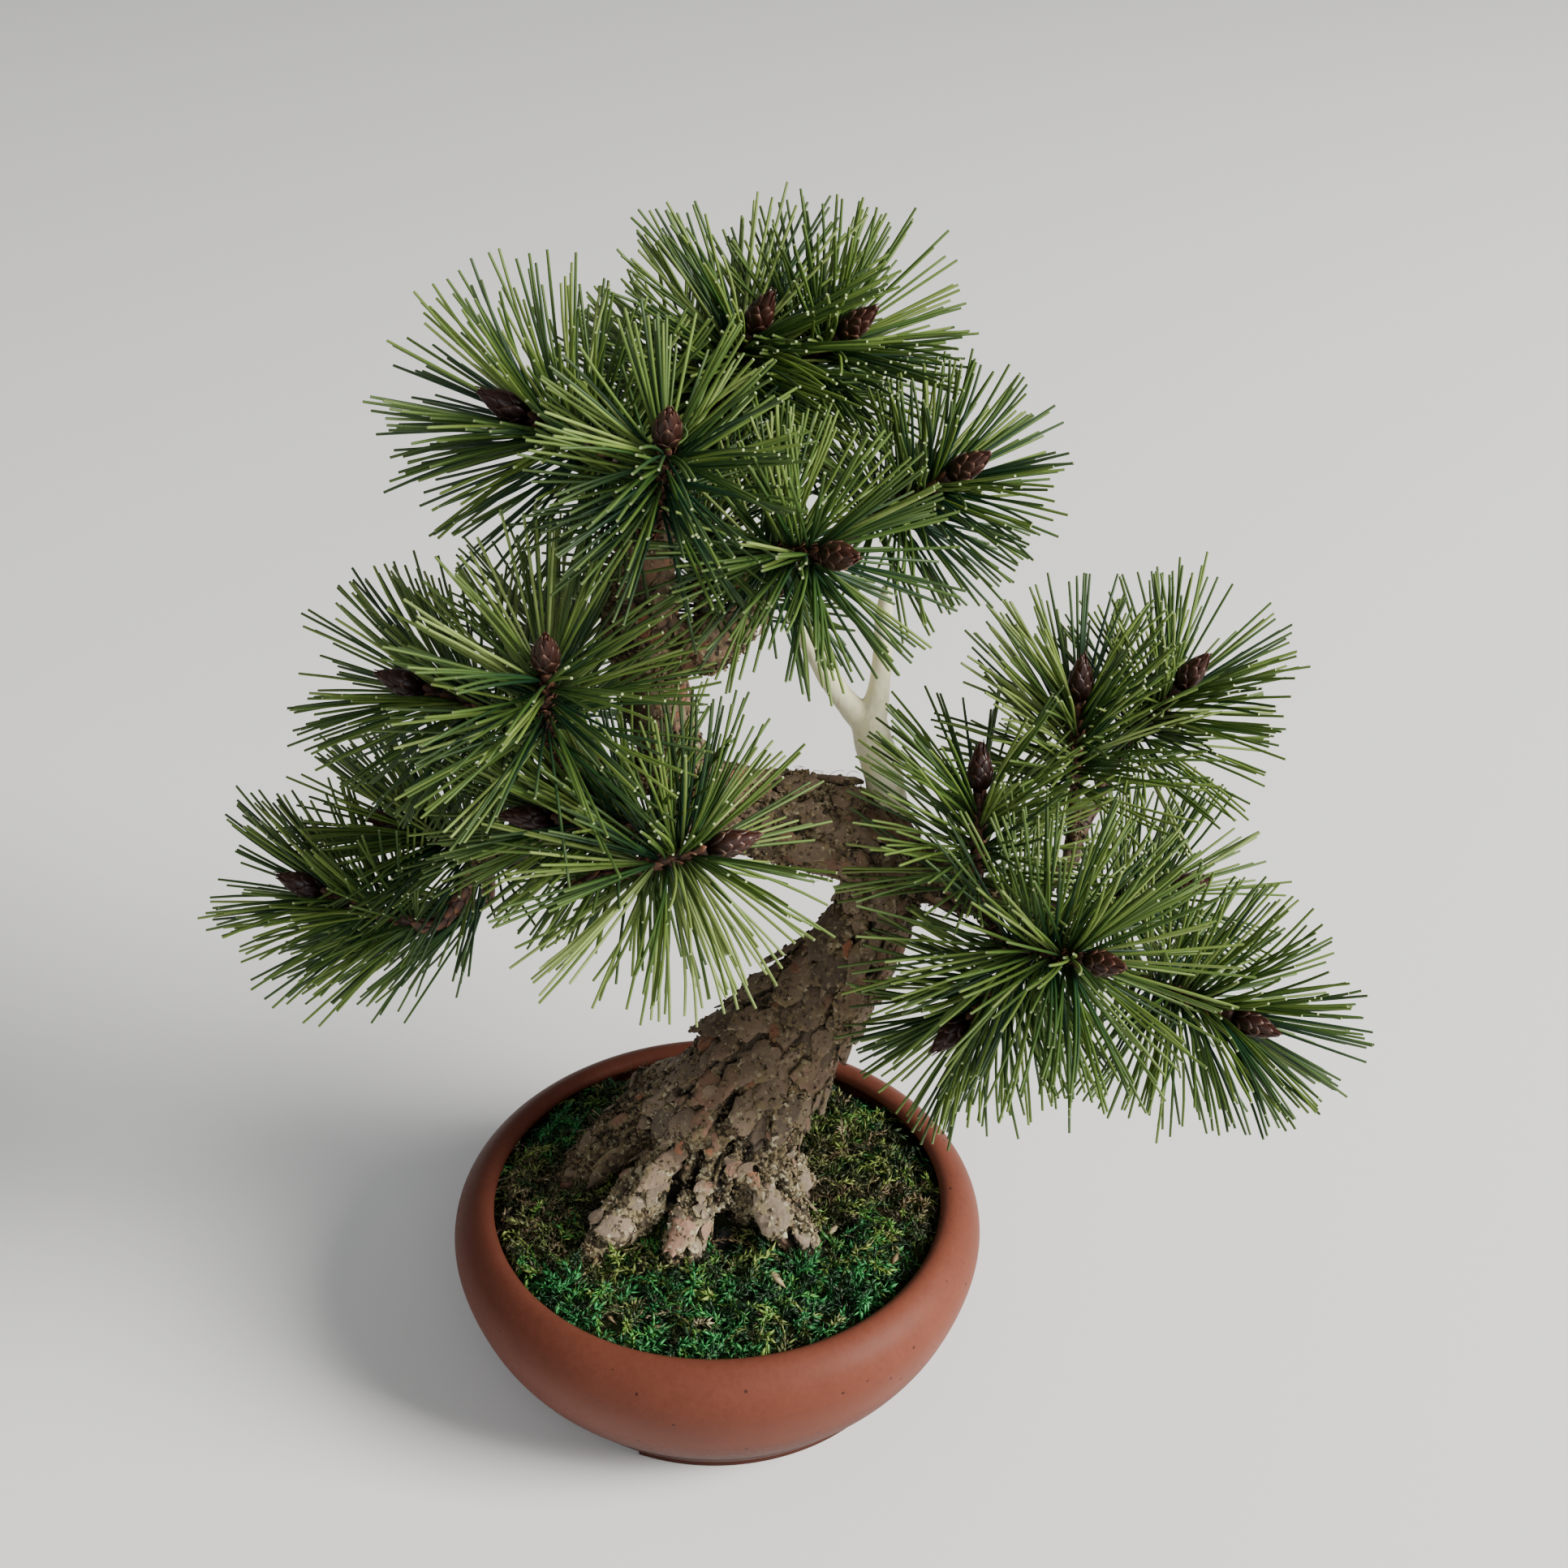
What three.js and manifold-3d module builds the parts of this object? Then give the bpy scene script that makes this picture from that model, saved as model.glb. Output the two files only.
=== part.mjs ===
// A leaning pine bonsai in a round unglazed pot, in millimetres, +Z up.
// The origin is the centre of the pot on the surface that it stands on. +X is to the right and
// +Y to the back, seen from the side that the tree was trained to be looked at from.
import * as THREE from "three";
import { mergeVertices } from "three/addons/utils/BufferGeometryUtils.js";
import Module from "manifold-3d";

const wasm = await Module();
wasm.setup();

// Air between two neighbouring pieces, and the wider one left where a faceted skin is offset.
const GAP = 0.3;
const SEAT_GAP = 0.4;

// Pot: a low bowl with a rolled shoulder, a flat underside and three low arc feet.
const POT_RADIUS = 100;
const POT_HEIGHT = 66;
const SHOULDER_HEIGHT = 51;
const MOUTH_RADIUS = 84;
const POT_WALL = 6;
const BASE_RADIUS = 76;
const FOOT_HEIGHT = 3;
const FOOT_WIDTH = 9;
const FOOT_COUNT = 3;
const FOOT_START = -111;
const FOOT_SPAN = 71;
const FOOT_STEPS = 6;
const POT_SIDES = 36;
const OUTER_STEPS = 9;
const INNER_STEPS = 4;

// Soil and moss.
const SOIL_TOP = 50;
const MOSS_EDGE = 56;
const MOSS_CROWN = 61;
const MOSS_RADIUS = 88;
const MOSS_TUFT = 0.55;
const MOSS_SIDES = 24;
const MOSS_RINGS = 5;

// Needles and the woody tip that carries them.
const NEEDLE_RADIUS = 0.62;
// Shortest and longest needle of a spray.
const REACH = [43, 51];
const NEEDLES_PER_SPRAY = 26;
const NEEDLE_CLEARANCE = 0.5;
const NEEDLE_TRIES = 260;
const NEEDLE_SUNK = 1.3;
const NEEDLE_SEED = 20240611;
// Needles of one spray may touch over this share of their length, where they leave the tip.
const FREE_FROM = 0.05;
// How much further round a needle may be turned by its last try, as a share of a face of the tip.
const TURN_DRIFT = 1.5;
// Air between a needle and the pot.
const POT_CLEARANCE = 4;
// Lean of the needles from the line of the tip, in degrees, at the twig and at the bud.
const FAN = [96, 40];
const FAN_JITTER = 10;
const TIP_LENGTH = 30;
const TIP_RADIUS = 2.2;
const TIP_SIDES = 6;
// Bare stretches of the tip: at the twig, and at the bud.
const BARE_FOOT = 3;
const BARE_HEAD = 4;

// Buds.
const BUD_LENGTH = 19;
const BUD_RADIUS = 5.3;
const BUD_SIDES = 8;
const BUD_RINGS = 7;
// The bud is widest before its middle when BUD_LEAN is under 1, and fuller when BUD_ROUNDING is.
const BUD_LEAN = 0.72;
const BUD_ROUNDING = 0.8;
const BUD_POINT = 3;
const SCALE_LIFT = 0.45;

// Bark: plates that overlap like shingles, largest at the foot of the trunk.
const PLATE_LENGTH = 15;
const PLATE_COLUMNS = 7;
const PLATE_LIFT = 0.1;
const PLATE_RISE = 0.7;
const BARK_SEED = 7;
// A long swell that winds up the wood: its height as a share of the lift, its turns and its waves.
const WINDING = { height: 0.4, turns: 3, waves: 21 };

// Sides and steps of the tubes.
const TRUNK_SIDES = 10;
const TRUNK_STEPS = 42;
const LIMB_SIDES = 6;
const LIMB_STEPS = 6;
const ROOT_STEPS = 5;
const TWIG_SIDES = 4;
const TWIG_STEPS = 4;
const DEADWOOD_SIDES = 7;

// Twigs: radius at the limb, its loss at each bend, the straight run to the seat, the end's radius.
const TWIG_RADIUS = 3;
const TWIG_TAPER = 0.4;
const TWIG_RUN = 4;
const TWIG_END_RADIUS = 1.9;

// Straight pieces that stand for a limb and for a twig where needles are kept clear of them.
const LIMB_PIECES = 16;
const TWIG_PIECES = 8;

// The trunk from the foot to the last fork: place of its heart, and radius.
const TRUNK = [
  [-2, 5, 44, 19],
  [0, 5, 62, 23],
  [1, 5, 78, 26],
  [6, 7, 98, 27],
  [20, 10, 124, 24],
  [40, 14, 152, 17],
  [54, 17, 176, 14.5],
  [59, 20, 198, 15],
  [50, 21, 211, 16],
  [31, 21, 217, 16.5],
  [11, 19, 222, 14.5],
  [-6, 16, 233, 12.5],
  [-15, 11, 254, 11],
  [-20, 6, 282, 11.5],
  [-23, 2, 308, 12.5],
  [-19, -2, 337, 8.5],
  [-15, -5, 353, 6],
];

// Roots, from inside the foot of the trunk to the tip in the soil, as the trunk's points are.
const ROOTS = [
  [[-6, 8, 98, 13], [-27, 17, 84, 13], [-46, 15, 68, 10.5], [-58, 12, 57, 6.5], [-63, 12, 49, 4.5]],
  [[-6, -2, 92, 12], [-24, -11, 76, 11], [-38, -21, 65, 8.5], [-46, -27, 56, 5.5], [-49, -29, 49, 4.5]],
  [[0, -4, 88, 11], [-8, -18, 74, 9], [-12, -28, 64, 7.5], [-13, -35, 56, 6], [-13, -37, 49, 5]],
  [[8, -2, 90, 12], [20, -13, 76, 10.5], [29, -20, 65, 8.5], [34, -24, 56, 6], [36, -26, 49, 5]],
  [[10, 6, 86, 11], [24, 5, 72, 8.5], [31, 4, 62, 6.5], [34, 4, 55, 5], [36, 4, 49, 4]],
  [[-4, 14, 98, 13], [-18, 34, 84, 12], [-28, 50, 70, 9.5], [-33, 60, 57, 6.5], [-35, 64, 49, 4.5]],
  [[8, 14, 92, 11], [16, 28, 76, 9], [20, 39, 65, 7], [22, 46, 56, 5.5], [23, 49, 49, 4.5]],
];

// Limbs that leave the trunk and fork again.
const LIMBS = [
  [[57, 20, 199, 11], [68, 17, 200, 10.5], [79, 12, 198, 9.5], [92, 6, 195, 7]],
  [[86, 9, 196, 6], [110, 9, 195, 4.5], [122, 14, 204, 3.8], [125, 18, 219, 3.2]],
  [[-8, 14, 243, 8], [-34, 6, 240, 7], [-62, 10, 221, 5.5], [-88, 12, 197, 4]],
  [[-20, 5, 288, 9], [-9, 4, 294, 9.5], [0, 3, 297, 10.5], [8, 3, 303, 8], [15, 4, 311, 5.5]],
  [[-18, -3, 338, 6], [-8, 18, 353, 5.2], [-6, 30, 356, 3.5]],
];

// Each spray of needles: the base of its bud, the heading in the plan (0 along +X, 90 along +Y)
// and the rise in which its tip points, and the route of its twig. A budless one ends in needles,
// and fan and reach are the lean and the length of its needles where they aren't the common ones.
const SPRAYS = {
  apex_front: {
    bud: [-10, -52, 386],
    heading: -80,
    rise: 55,
    twig: [[-18, -3, 338], [-18, -22, 346]],
    reach: [37, 45],
  },
  apex_back: {
    bud: [12, 30, 390],
    heading: -40,
    rise: 60,
    twig: [[-9, 16, 352], [-5, 38, 355]],
    reach: [45, 54],
  },
  apex_right: { bud: [40, 45, 384], heading: -30, rise: 42, twig: [[-7, 24, 354], [8, 50, 355]] },
  apex_left: {
    bud: [-53, -10, 377],
    heading: 188,
    rise: 32,
    twig: [[-17, -4, 347], [-21, -5, 356]],
    reach: [45, 54],
  },
  crown_back: { bud: [-14, 82, 350], heading: 100, rise: 18, twig: [[-7, 26, 354], [-9, 44, 343]] },
  upper_right: {
    bud: [75, 20, 347],
    heading: -28,
    rise: 38,
    twig: [[11, 4, 308], [32, 26, 313]],
    fan: [90, 38],
    reach: [38, 45],
  },
  upper_front: {
    bud: [34, -48, 351],
    heading: -52,
    rise: 18,
    twig: [[11, 4, 308], [9, -12, 334]],
    reach: [38, 46],
  },
  inner_rise: {
    bud: [-6, 27, 333],
    heading: 100,
    rise: 72,
    twig: [[0, 3, 302], [-3, 14, 299]],
    budless: true,
  },
  left_front: {
    bud: [-46, -60, 319],
    heading: -80,
    rise: 62,
    twig: [[-30, 7, 240], [-47, -30, 268]],
    reach: [43, 53],
  },
  left_high: { bud: [-92, -5, 282], heading: 180, rise: 20, twig: [[-30, 7, 240], [-48, -3, 262]] },
  left_rear: { bud: [-60, 75, 262], heading: 110, rise: 32, twig: [[-34, 7, 239], [-44, 34, 238]] },
  left_inner: { bud: [-49, -35, 252], heading: 185, rise: 8, twig: [[-10, 13, 244], [-4, -26, 245]] },
  left_back: {
    bud: [-107, 20, 213],
    heading: 195,
    rise: 30,
    twig: [[-60, 10, 221], [-72, 26, 195]],
    fan: [84, 30],
  },
  left_tip: {
    bud: [-136, 5, 196],
    heading: 182,
    rise: 25,
    twig: [[-84, 12, 199], [-98, 8, 181]],
    fan: [66, 22],
  },
  left_low: {
    bud: [-119, 40, 156],
    heading: 172,
    rise: -24,
    twig: [[-80, 12, 202], [-84, 30, 177]],
    budless: true,
    fan: [50, 10],
    reach: [42, 54],
  },
  centre_front: {
    bud: [0, -58, 256],
    heading: 5,
    rise: 15,
    twig: [[-10, 13, 240], [-30, -24, 229], [-42, -58, 240]],
    reach: [44, 52],
  },
  right_inner: { bud: [89, 0, 242], heading: 90, rise: 72, twig: [[84, 10, 197], [88, -10, 203]] },
  right_high: {
    bud: [123, 22, 265],
    heading: 90,
    rise: 86,
    twig: [[125, 18, 214], [124, 20, 226]],
    fan: [86, 26],
  },
  right_back_high: {
    bud: [160, 42, 260],
    heading: -20,
    rise: 58,
    twig: [[124, 16, 210], [139, 44, 223]],
    fan: [88, 30],
  },
  right_front: {
    bud: [120, -56, 214],
    heading: -48,
    rise: 20,
    twig: [[89, 8, 195], [95, -20, 199]],
    reach: [46, 57],
  },
  right_tip: {
    bud: [175, -36, 177],
    heading: -38,
    rise: 2,
    twig: [[90, 8, 195], [118, 0, 186], [136, -9, 178]],
  },
  right_low: {
    bud: [87, -30, 171],
    heading: 212,
    rise: -32,
    twig: [[90, 7, 194], [113, -6, 195]],
    fan: [84, 22],
  },
  right_back: { bud: [163, 32, 182], heading: -20, rise: 30, twig: [[90, 9, 195], [122, 40, 168]] },
};

// The bleached dead branch behind the bend of the trunk: its stem and the two arms of its fork.
const DEADWOOD = [
  [[60, 24, 210, 8], [59, 28, 228, 7], [54, 35, 243, 6.8], [52, 37, 250, 6.3]],
  [[53, 36, 246, 5.5], [43, 40, 257, 4], [36, 43, 268, 3.6], [30, 45, 278, 3.4], [25, 47, 290, 2]],
  [[53, 36, 246, 5.5], [56, 40, 259, 4], [57, 42, 273, 3.5], [57, 44, 284, 3.2], [58, 45, 296, 2]],
];

const UP = new THREE.Vector3(0, 0, 1);
const TIP_FACE = (2 * Math.PI) / TIP_SIDES;
const TIP_FLAT = TIP_RADIUS * Math.cos(TIP_FACE / 2);
const bonsai = new THREE.Group();

// ---- Helpers ---------------------------------------------------------------------------------

// A repeatable stream of numbers from 0 to 1.
function seededDraw(seed) {
  let state = seed;
  return () => {
    state = (state * 1664525 + 1013904223) % 4294967296;
    return state / 4294967296;
  };
}

function solidOf(geometry) {
  geometry.deleteAttribute("normal");
  geometry.deleteAttribute("uv");
  const merged = mergeVertices(geometry, 1e-4);
  const vertProperties = merged.getAttribute("position").array;
  const triVerts = new Uint32Array(merged.index.array);
  return new wasm.Manifold(new wasm.Mesh({ numProp: 3, vertProperties, triVerts }));
}

function geometryOf(solid) {
  const { vertProperties, triVerts } = solid.getMesh();
  const geometry = new THREE.BufferGeometry();
  geometry.setAttribute("position", new THREE.BufferAttribute(vertProperties, 3));
  geometry.setIndex(new THREE.BufferAttribute(triVerts, 1));
  geometry.computeVertexNormals();
  return geometry;
}

// The largest body of a solid, without the scraps that a cut leaves.
function mainBody(solid) {
  return solid.decompose().reduce((a, b) => (b.volume() > a.volume() ? b : a));
}

function addMesh(name, geometry, material) {
  const mesh = new THREE.Mesh(geometry, material);
  mesh.name = name;
  bonsai.add(mesh);
  return mesh;
}

function joined(solids) {
  return solids.reduce((whole, piece) => whole.add(piece));
}

function radians(degrees) {
  return THREE.MathUtils.degToRad(degrees);
}

function direction(heading, rise) {
  const flat = Math.cos(radians(rise));
  const x = flat * Math.cos(radians(heading));
  const y = flat * Math.sin(radians(heading));
  return new THREE.Vector3(x, y, Math.sin(radians(rise)));
}

// The turn that stands a piece made upright along an axis.
function turnTo(axis) {
  return new THREE.Quaternion().setFromUnitVectors(UP, axis);
}

// A smooth route through [x, y, z, radius] points, with the radius at any share of its length.
function route(points) {
  const curve = new THREE.CatmullRomCurve3(
    points.map(([x, y, z]) => new THREE.Vector3(x, y, z)),
  );
  const radiusAt = (share) => {
    const place = curve.getUtoTmapping(share) * (points.length - 1);
    const index = Math.min(Math.floor(place), points.length - 2);
    return THREE.MathUtils.lerp(points[index][3], points[index + 1][3], place - index);
  };
  return { curve, radiusAt };
}

// A closed round tube on a route. swell is what the relief adds at a share of the length and an
// angle round it, and clearance grows the tube on all sides and at both ends.
function tube(points, sides, steps, clearance = 0, swell = () => 0) {
  const { curve, radiusAt } = route(points);
  const frames = curve.computeFrenetFrames(steps, false);
  const geometry = new THREE.CylinderGeometry(1, 1, 1, sides, steps);
  const position = geometry.getAttribute("position");
  for (let i = 0; i < position.count; i += 1) {
    const share = position.getY(i) + 0.5;
    const step = Math.round(share * steps);
    const turn = Math.atan2(position.getZ(i), position.getX(i));
    const outward = Math.hypot(position.getX(i), position.getZ(i));
    const reach = outward * (radiusAt(share) + clearance + outward * swell(share, turn));
    const end = clearance * (Number(step === steps) - Number(step === 0));
    const place = curve
      .getPointAt(share)
      .addScaledVector(frames.tangents[step], end)
      .addScaledVector(frames.normals[step], reach * Math.cos(turn))
      .addScaledVector(frames.binormals[step], -reach * Math.sin(turn));
    position.setXYZ(i, place.x, place.y, place.z);
  }
  return solidOf(geometry);
}

// A solid of revolution about +Z through [radius, height] points that close on the axis.
function turned(profile, sides) {
  const points = profile.map(([r, z]) => new THREE.Vector2(r, z));
  return new THREE.LatheGeometry(points, sides).rotateX(Math.PI / 2);
}

function smoothProfile(points, count) {
  const spline = new THREE.SplineCurve(points.map(([r, z]) => new THREE.Vector2(r, z)));
  return spline.getPoints(count).map((p) => [p.x, p.y]);
}

// ---- Materials -------------------------------------------------------------------------------

function terracotta() {
  return new THREE.MeshStandardMaterial({ color: 0x8a4a3a, roughness: 0.5, metalness: 0 });
}

function darkSoil() {
  return new THREE.MeshStandardMaterial({ color: 0x33261b, roughness: 1, metalness: 0 });
}

function greenMoss() {
  return new THREE.MeshStandardMaterial({ color: 0x2f4a22, roughness: 0.95, metalness: 0 });
}

function pineBark() {
  return new THREE.MeshStandardMaterial({ color: 0x5f4a40, roughness: 0.9, metalness: 0 });
}

function bleachedWood() {
  return new THREE.MeshStandardMaterial({ color: 0xd8d0b8, roughness: 0.6, metalness: 0 });
}

function pineNeedles() {
  return new THREE.MeshStandardMaterial({ color: 0x4f7a33, roughness: 0.5, metalness: 0 });
}

function budScales() {
  return new THREE.MeshStandardMaterial({ color: 0x4a2620, roughness: 0.45, metalness: 0 });
}

// ---- Pot -------------------------------------------------------------------------------------

function outerWall() {
  return smoothProfile(
    [
      [BASE_RADIUS, FOOT_HEIGHT],
      [80, 9.5],
      [88, 19],
      [95, 32],
      [POT_RADIUS, SHOULDER_HEIGHT],
      [97, 60],
      [90, POT_HEIGHT],
      [MOUTH_RADIUS, 64],
    ],
    OUTER_STEPS,
  );
}

// The inside of the pot from under the lip down to the floor.
function innerWall(inset) {
  return smoothProfile(
    [
      [MOUTH_RADIUS + 1 - inset, 60.5],
      [92 - inset, 55],
      [POT_RADIUS - POT_WALL - inset, 47],
      [90 - inset, 33],
      [82 - inset, 20],
      [70 - inset, FOOT_HEIGHT + POT_WALL + inset],
    ],
    INNER_STEPS,
  );
}

function potFoot(index) {
  const start = radians(FOOT_START + (index * 360) / FOOT_COUNT);
  const span = radians(FOOT_SPAN);
  const outline = new THREE.Shape();
  outline.absarc(0, 0, BASE_RADIUS - 0.5, start, start + span, false);
  outline.absarc(0, 0, BASE_RADIUS - FOOT_WIDTH, start + span, start, true);
  const depth = FOOT_HEIGHT + POT_WALL / 2;
  const options = { depth, bevelEnabled: false, curveSegments: FOOT_STEPS };
  return solidOf(new THREE.ExtrudeGeometry(outline, options));
}

function pot() {
  const profile = [[0, FOOT_HEIGHT], ...outerWall(), ...innerWall(0), [0, FOOT_HEIGHT + POT_WALL]];
  const feet = Array.from({ length: FOOT_COUNT }, (_, index) => potFoot(index));
  return joined([solidOf(turned(profile, POT_SIDES)), ...feet]);
}

// ---- Soil and moss ---------------------------------------------------------------------------

// The soil fills the pot up to the moss, with a plain hole where the foot of the trunk stands.
function soil(holes) {
  const wall = innerWall(GAP).filter(([, z]) => z < SOIL_TOP - 1);
  const top = [wall[0][0], SOIL_TOP];
  const profile = [[0, SOIL_TOP], top, ...wall, [0, wall.at(-1)[1]]].reverse();
  return mainBody(solidOf(turned(profile, POT_SIDES)).subtract(holes));
}

// The moss mat: low tufts on a slight mound, with plain holes for the trunk and the roots.
function moss(holes) {
  const base = SOIL_TOP + GAP;
  const top = Array.from({ length: MOSS_RINGS + 1 }, (_, ring) => {
    const share = ring / MOSS_RINGS;
    return [MOSS_RADIUS * share, THREE.MathUtils.lerp(MOSS_CROWN, MOSS_EDGE, share ** 3)];
  });
  const geometry = turned([...top, [MOSS_RADIUS + 1, base], [0, base]].reverse(), MOSS_SIDES);
  const position = geometry.getAttribute("position");
  for (let i = 0; i < position.count; i += 1) {
    const [x, y, z] = [position.getX(i), position.getY(i), position.getZ(i)];
    const tuft = Math.sin(x * 0.31 + 1) * Math.cos(y * 0.27) + Math.sin(x * 0.13 - y * 0.21);
    if (z > base + 1) position.setZ(i, z + MOSS_TUFT * tuft);
  }
  return mainBody(solidOf(geometry).subtract(holes));
}

// ---- Trunk, roots, limbs and twigs -----------------------------------------------------------

// Shingle relief: within each plate the bark lifts towards its lower edge, row by row.
function barkRelief(points) {
  const { curve, radiusAt } = route(points);
  const rows = curve.getLength() / PLATE_LENGTH;
  const draw = seededDraw(BARK_SEED);
  const shifts = Array.from({ length: PLATE_COLUMNS + 1 }, () => draw());
  return (share, turn) => {
    const column = Math.floor((turn / Math.PI + 1) * (PLATE_COLUMNS / 2));
    const along = (share * rows + shifts[column]) % 1;
    const wave = Math.sin(turn * WINDING.turns + share * WINDING.waves) * WINDING.height;
    return radiusAt(share) * PLATE_LIFT * (PLATE_RISE - along + wave);
  };
}

// The twig of a spray: from inside its limb to the seat behind the woody tip.
function twigPoints({ bud, heading, rise, twig }) {
  const reach = TIP_LENGTH + GAP;
  const seat = new THREE.Vector3(...bud).addScaledVector(direction(heading, rise), -reach);
  const before = seat.clone().addScaledVector(direction(heading, rise), -TWIG_RUN);
  const thick = TWIG_RADIUS + TWIG_TAPER * (twig.length - 2);
  const bends = twig.map(([x, y, z], index) => [x, y, z, thick - index * TWIG_TAPER]);
  return [...bends, [...before.toArray(), TIP_RADIUS], [...seat.toArray(), TWIG_END_RADIUS]];
}

function wood(clearance) {
  const barked = (points, sides, steps) => tube(points, sides, steps, clearance, barkRelief(points));
  const smooth = (points) => tube(points, TWIG_SIDES, TWIG_STEPS, clearance);
  return joined([
    barked(TRUNK, TRUNK_SIDES, TRUNK_STEPS),
    ...ROOTS.map((points) => barked(points, LIMB_SIDES, ROOT_STEPS)),
    ...LIMBS.map((points) => barked(points, LIMB_SIDES, LIMB_STEPS)),
    ...Object.values(SPRAYS).map((spray) => smooth(twigPoints(spray))),
  ]);
}

// The dead branch seats on the bark of the bend.
function deadwood(bark) {
  const arms = DEADWOOD.map((points) => tube(points, DEADWOOD_SIDES, points.length));
  return mainBody(joined(arms).subtract(bark));
}

// ---- Needles and buds ------------------------------------------------------------------------

// The shortest distance between two straight pieces, each from a to b.
function distanceBetween(first, second) {
  const u = first.b.clone().sub(first.a);
  const v = second.b.clone().sub(second.a);
  const w = first.a.clone().sub(second.a);
  const [uu, uv, vv, uw, vw] = [u.dot(u), u.dot(v), v.dot(v), u.dot(w), v.dot(w)];
  const spread = uu * vv - uv * uv;
  let s = spread < 1e-6 ? 0 : THREE.MathUtils.clamp((uv * vw - vv * uw) / spread, 0, 1);
  const t = THREE.MathUtils.clamp((uv * s + vw) / vv, 0, 1);
  s = THREE.MathUtils.clamp((uv * t - uw) / uu, 0, 1);
  return w.addScaledVector(u, s).addScaledVector(v, -t).length();
}

// A route as a chain of straight round pieces, for telling what a needle would touch.
function chainOf(points, pieces, owner) {
  const { curve, radiusAt } = route(points);
  return Array.from({ length: pieces }, (_, i) => ({
    a: curve.getPointAt(i / pieces),
    b: curve.getPointAt((i + 1) / pieces),
    radius: Math.max(radiusAt(i / pieces), radiusAt((i + 1) / pieces)) * (1 + PLATE_LIFT),
    owner,
  }));
}

function sprayAxis({ bud, heading, rise }) {
  const axis = direction(heading, rise);
  const budBase = new THREE.Vector3(...bud);
  return { axis, budBase, tipBase: budBase.clone().addScaledVector(axis, -TIP_LENGTH) };
}

// Everything that a needle must stay clear of, apart from other needles.
function obstacles() {
  const limbs = [TRUNK, ...ROOTS, ...LIMBS, ...DEADWOOD];
  const list = limbs.flatMap((points) => chainOf(points, LIMB_PIECES, ""));
  for (const [name, spray] of Object.entries(SPRAYS)) {
    const { axis, budBase, tipBase } = sprayAxis(spray);
    list.push(...chainOf(twigPoints(spray), TWIG_PIECES, ""));
    list.push({ a: tipBase, b: budBase, radius: TIP_RADIUS, owner: name });
    if (spray.budless) continue;
    const a = budBase.clone().addScaledVector(axis, BUD_RADIUS);
    const b = budBase.clone().addScaledVector(axis, BUD_LENGTH - BUD_POINT);
    list.push({ a, b, radius: BUD_RADIUS, owner: "" });
  }
  return list;
}

// Needles stay above the pot and the moss, and outside the pot where they hang lower.
function clearOfPot({ a, b }) {
  const above = POT_HEIGHT + POT_CLEARANCE;
  const outside = POT_RADIUS + POT_CLEARANCE;
  return [a, b].every(({ x, y, z }) => z > above || Math.hypot(x, y) > outside);
}

function isClear(needle, others) {
  return others.every(({ a, b, radius, owner }) => {
    if (owner === needle.owner) return true;
    return distanceBetween(needle, { a, b }) > NEEDLE_RADIUS + radius + NEEDLE_CLEARANCE;
  });
}

// Needles of one spray cross only where they leave the tip, so their outer stretches are kept apart.
function isApart(needle, own) {
  const outer = { a: needle.a.clone().lerp(needle.b, FREE_FROM), b: needle.b };
  return own.every(({ a, b }) => {
    const other = { a: a.clone().lerp(b, FREE_FROM), b };
    return distanceBetween(outer, other) > 2 * NEEDLE_RADIUS + NEEDLE_CLEARANCE;
  });
}

// Places the needles of one spray in a spiral along the faces of the tip, fanned from past
// square at the twig to close round the bud. A place that would touch something is redrawn.
function drawNeedles(name, spray, others, draw) {
  const { axis, tipBase } = sprayAxis(spray);
  const { fan = FAN, reach = REACH } = spray;
  const across = new THREE.Vector3(1, 0, 0).applyQuaternion(turnTo(axis));
  const own = [];
  for (let i = 0; i < NEEDLES_PER_SPRAY; i += 1) {
    const share = (i + 0.5) / NEEDLES_PER_SPRAY;
    for (let attempt = 0; attempt < NEEDLE_TRIES; attempt += 1) {
      const drift = attempt / NEEDLE_TRIES;
      const turn = i * TIP_FACE + (draw() - 0.5) * TIP_FACE * (1 + TURN_DRIFT * drift);
      const jitter = FAN_JITTER * (draw() * 2 - 1) * (1 + drift);
      const lean = radians(THREE.MathUtils.lerp(...fan, share) + jitter);
      const length = THREE.MathUtils.lerp(...reach, draw());
      const outward = across.clone().applyAxisAngle(axis, turn);
      const heading = axis
        .clone()
        .multiplyScalar(Math.cos(lean))
        .addScaledVector(outward, Math.sin(lean));
      const root = THREE.MathUtils.lerp(BARE_FOOT, TIP_LENGTH - BARE_HEAD, share);
      const a = tipBase
        .clone()
        .addScaledVector(axis, root)
        .addScaledVector(across.clone().applyAxisAngle(axis, i * TIP_FACE), TIP_FLAT)
        .addScaledVector(heading, -NEEDLE_SUNK);
      const b = a.clone().addScaledVector(heading, length);
      const needle = { a, b, radius: NEEDLE_RADIUS, owner: name };
      if (clearOfPot(needle) && isClear(needle, others) && isApart(needle, own)) {
        own.push(needle);
        break;
      }
    }
  }
  return own;
}

// A needle as a three-sided rod between two points.
function needleSolid(a, b) {
  const corners = [0, 1, 2].map((i) => (i * 2 * Math.PI) / 3);
  const section = new THREE.Shape(
    corners.map((t) => new THREE.Vector2(NEEDLE_RADIUS * Math.cos(t), NEEDLE_RADIUS * Math.sin(t))),
  );
  const length = a.distanceTo(b);
  const geometry = new THREE.ExtrudeGeometry(section, { depth: length, bevelEnabled: false });
  geometry.applyQuaternion(turnTo(b.clone().sub(a).normalize()));
  geometry.translate(a.x, a.y, a.z);
  return solidOf(geometry);
}

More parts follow.
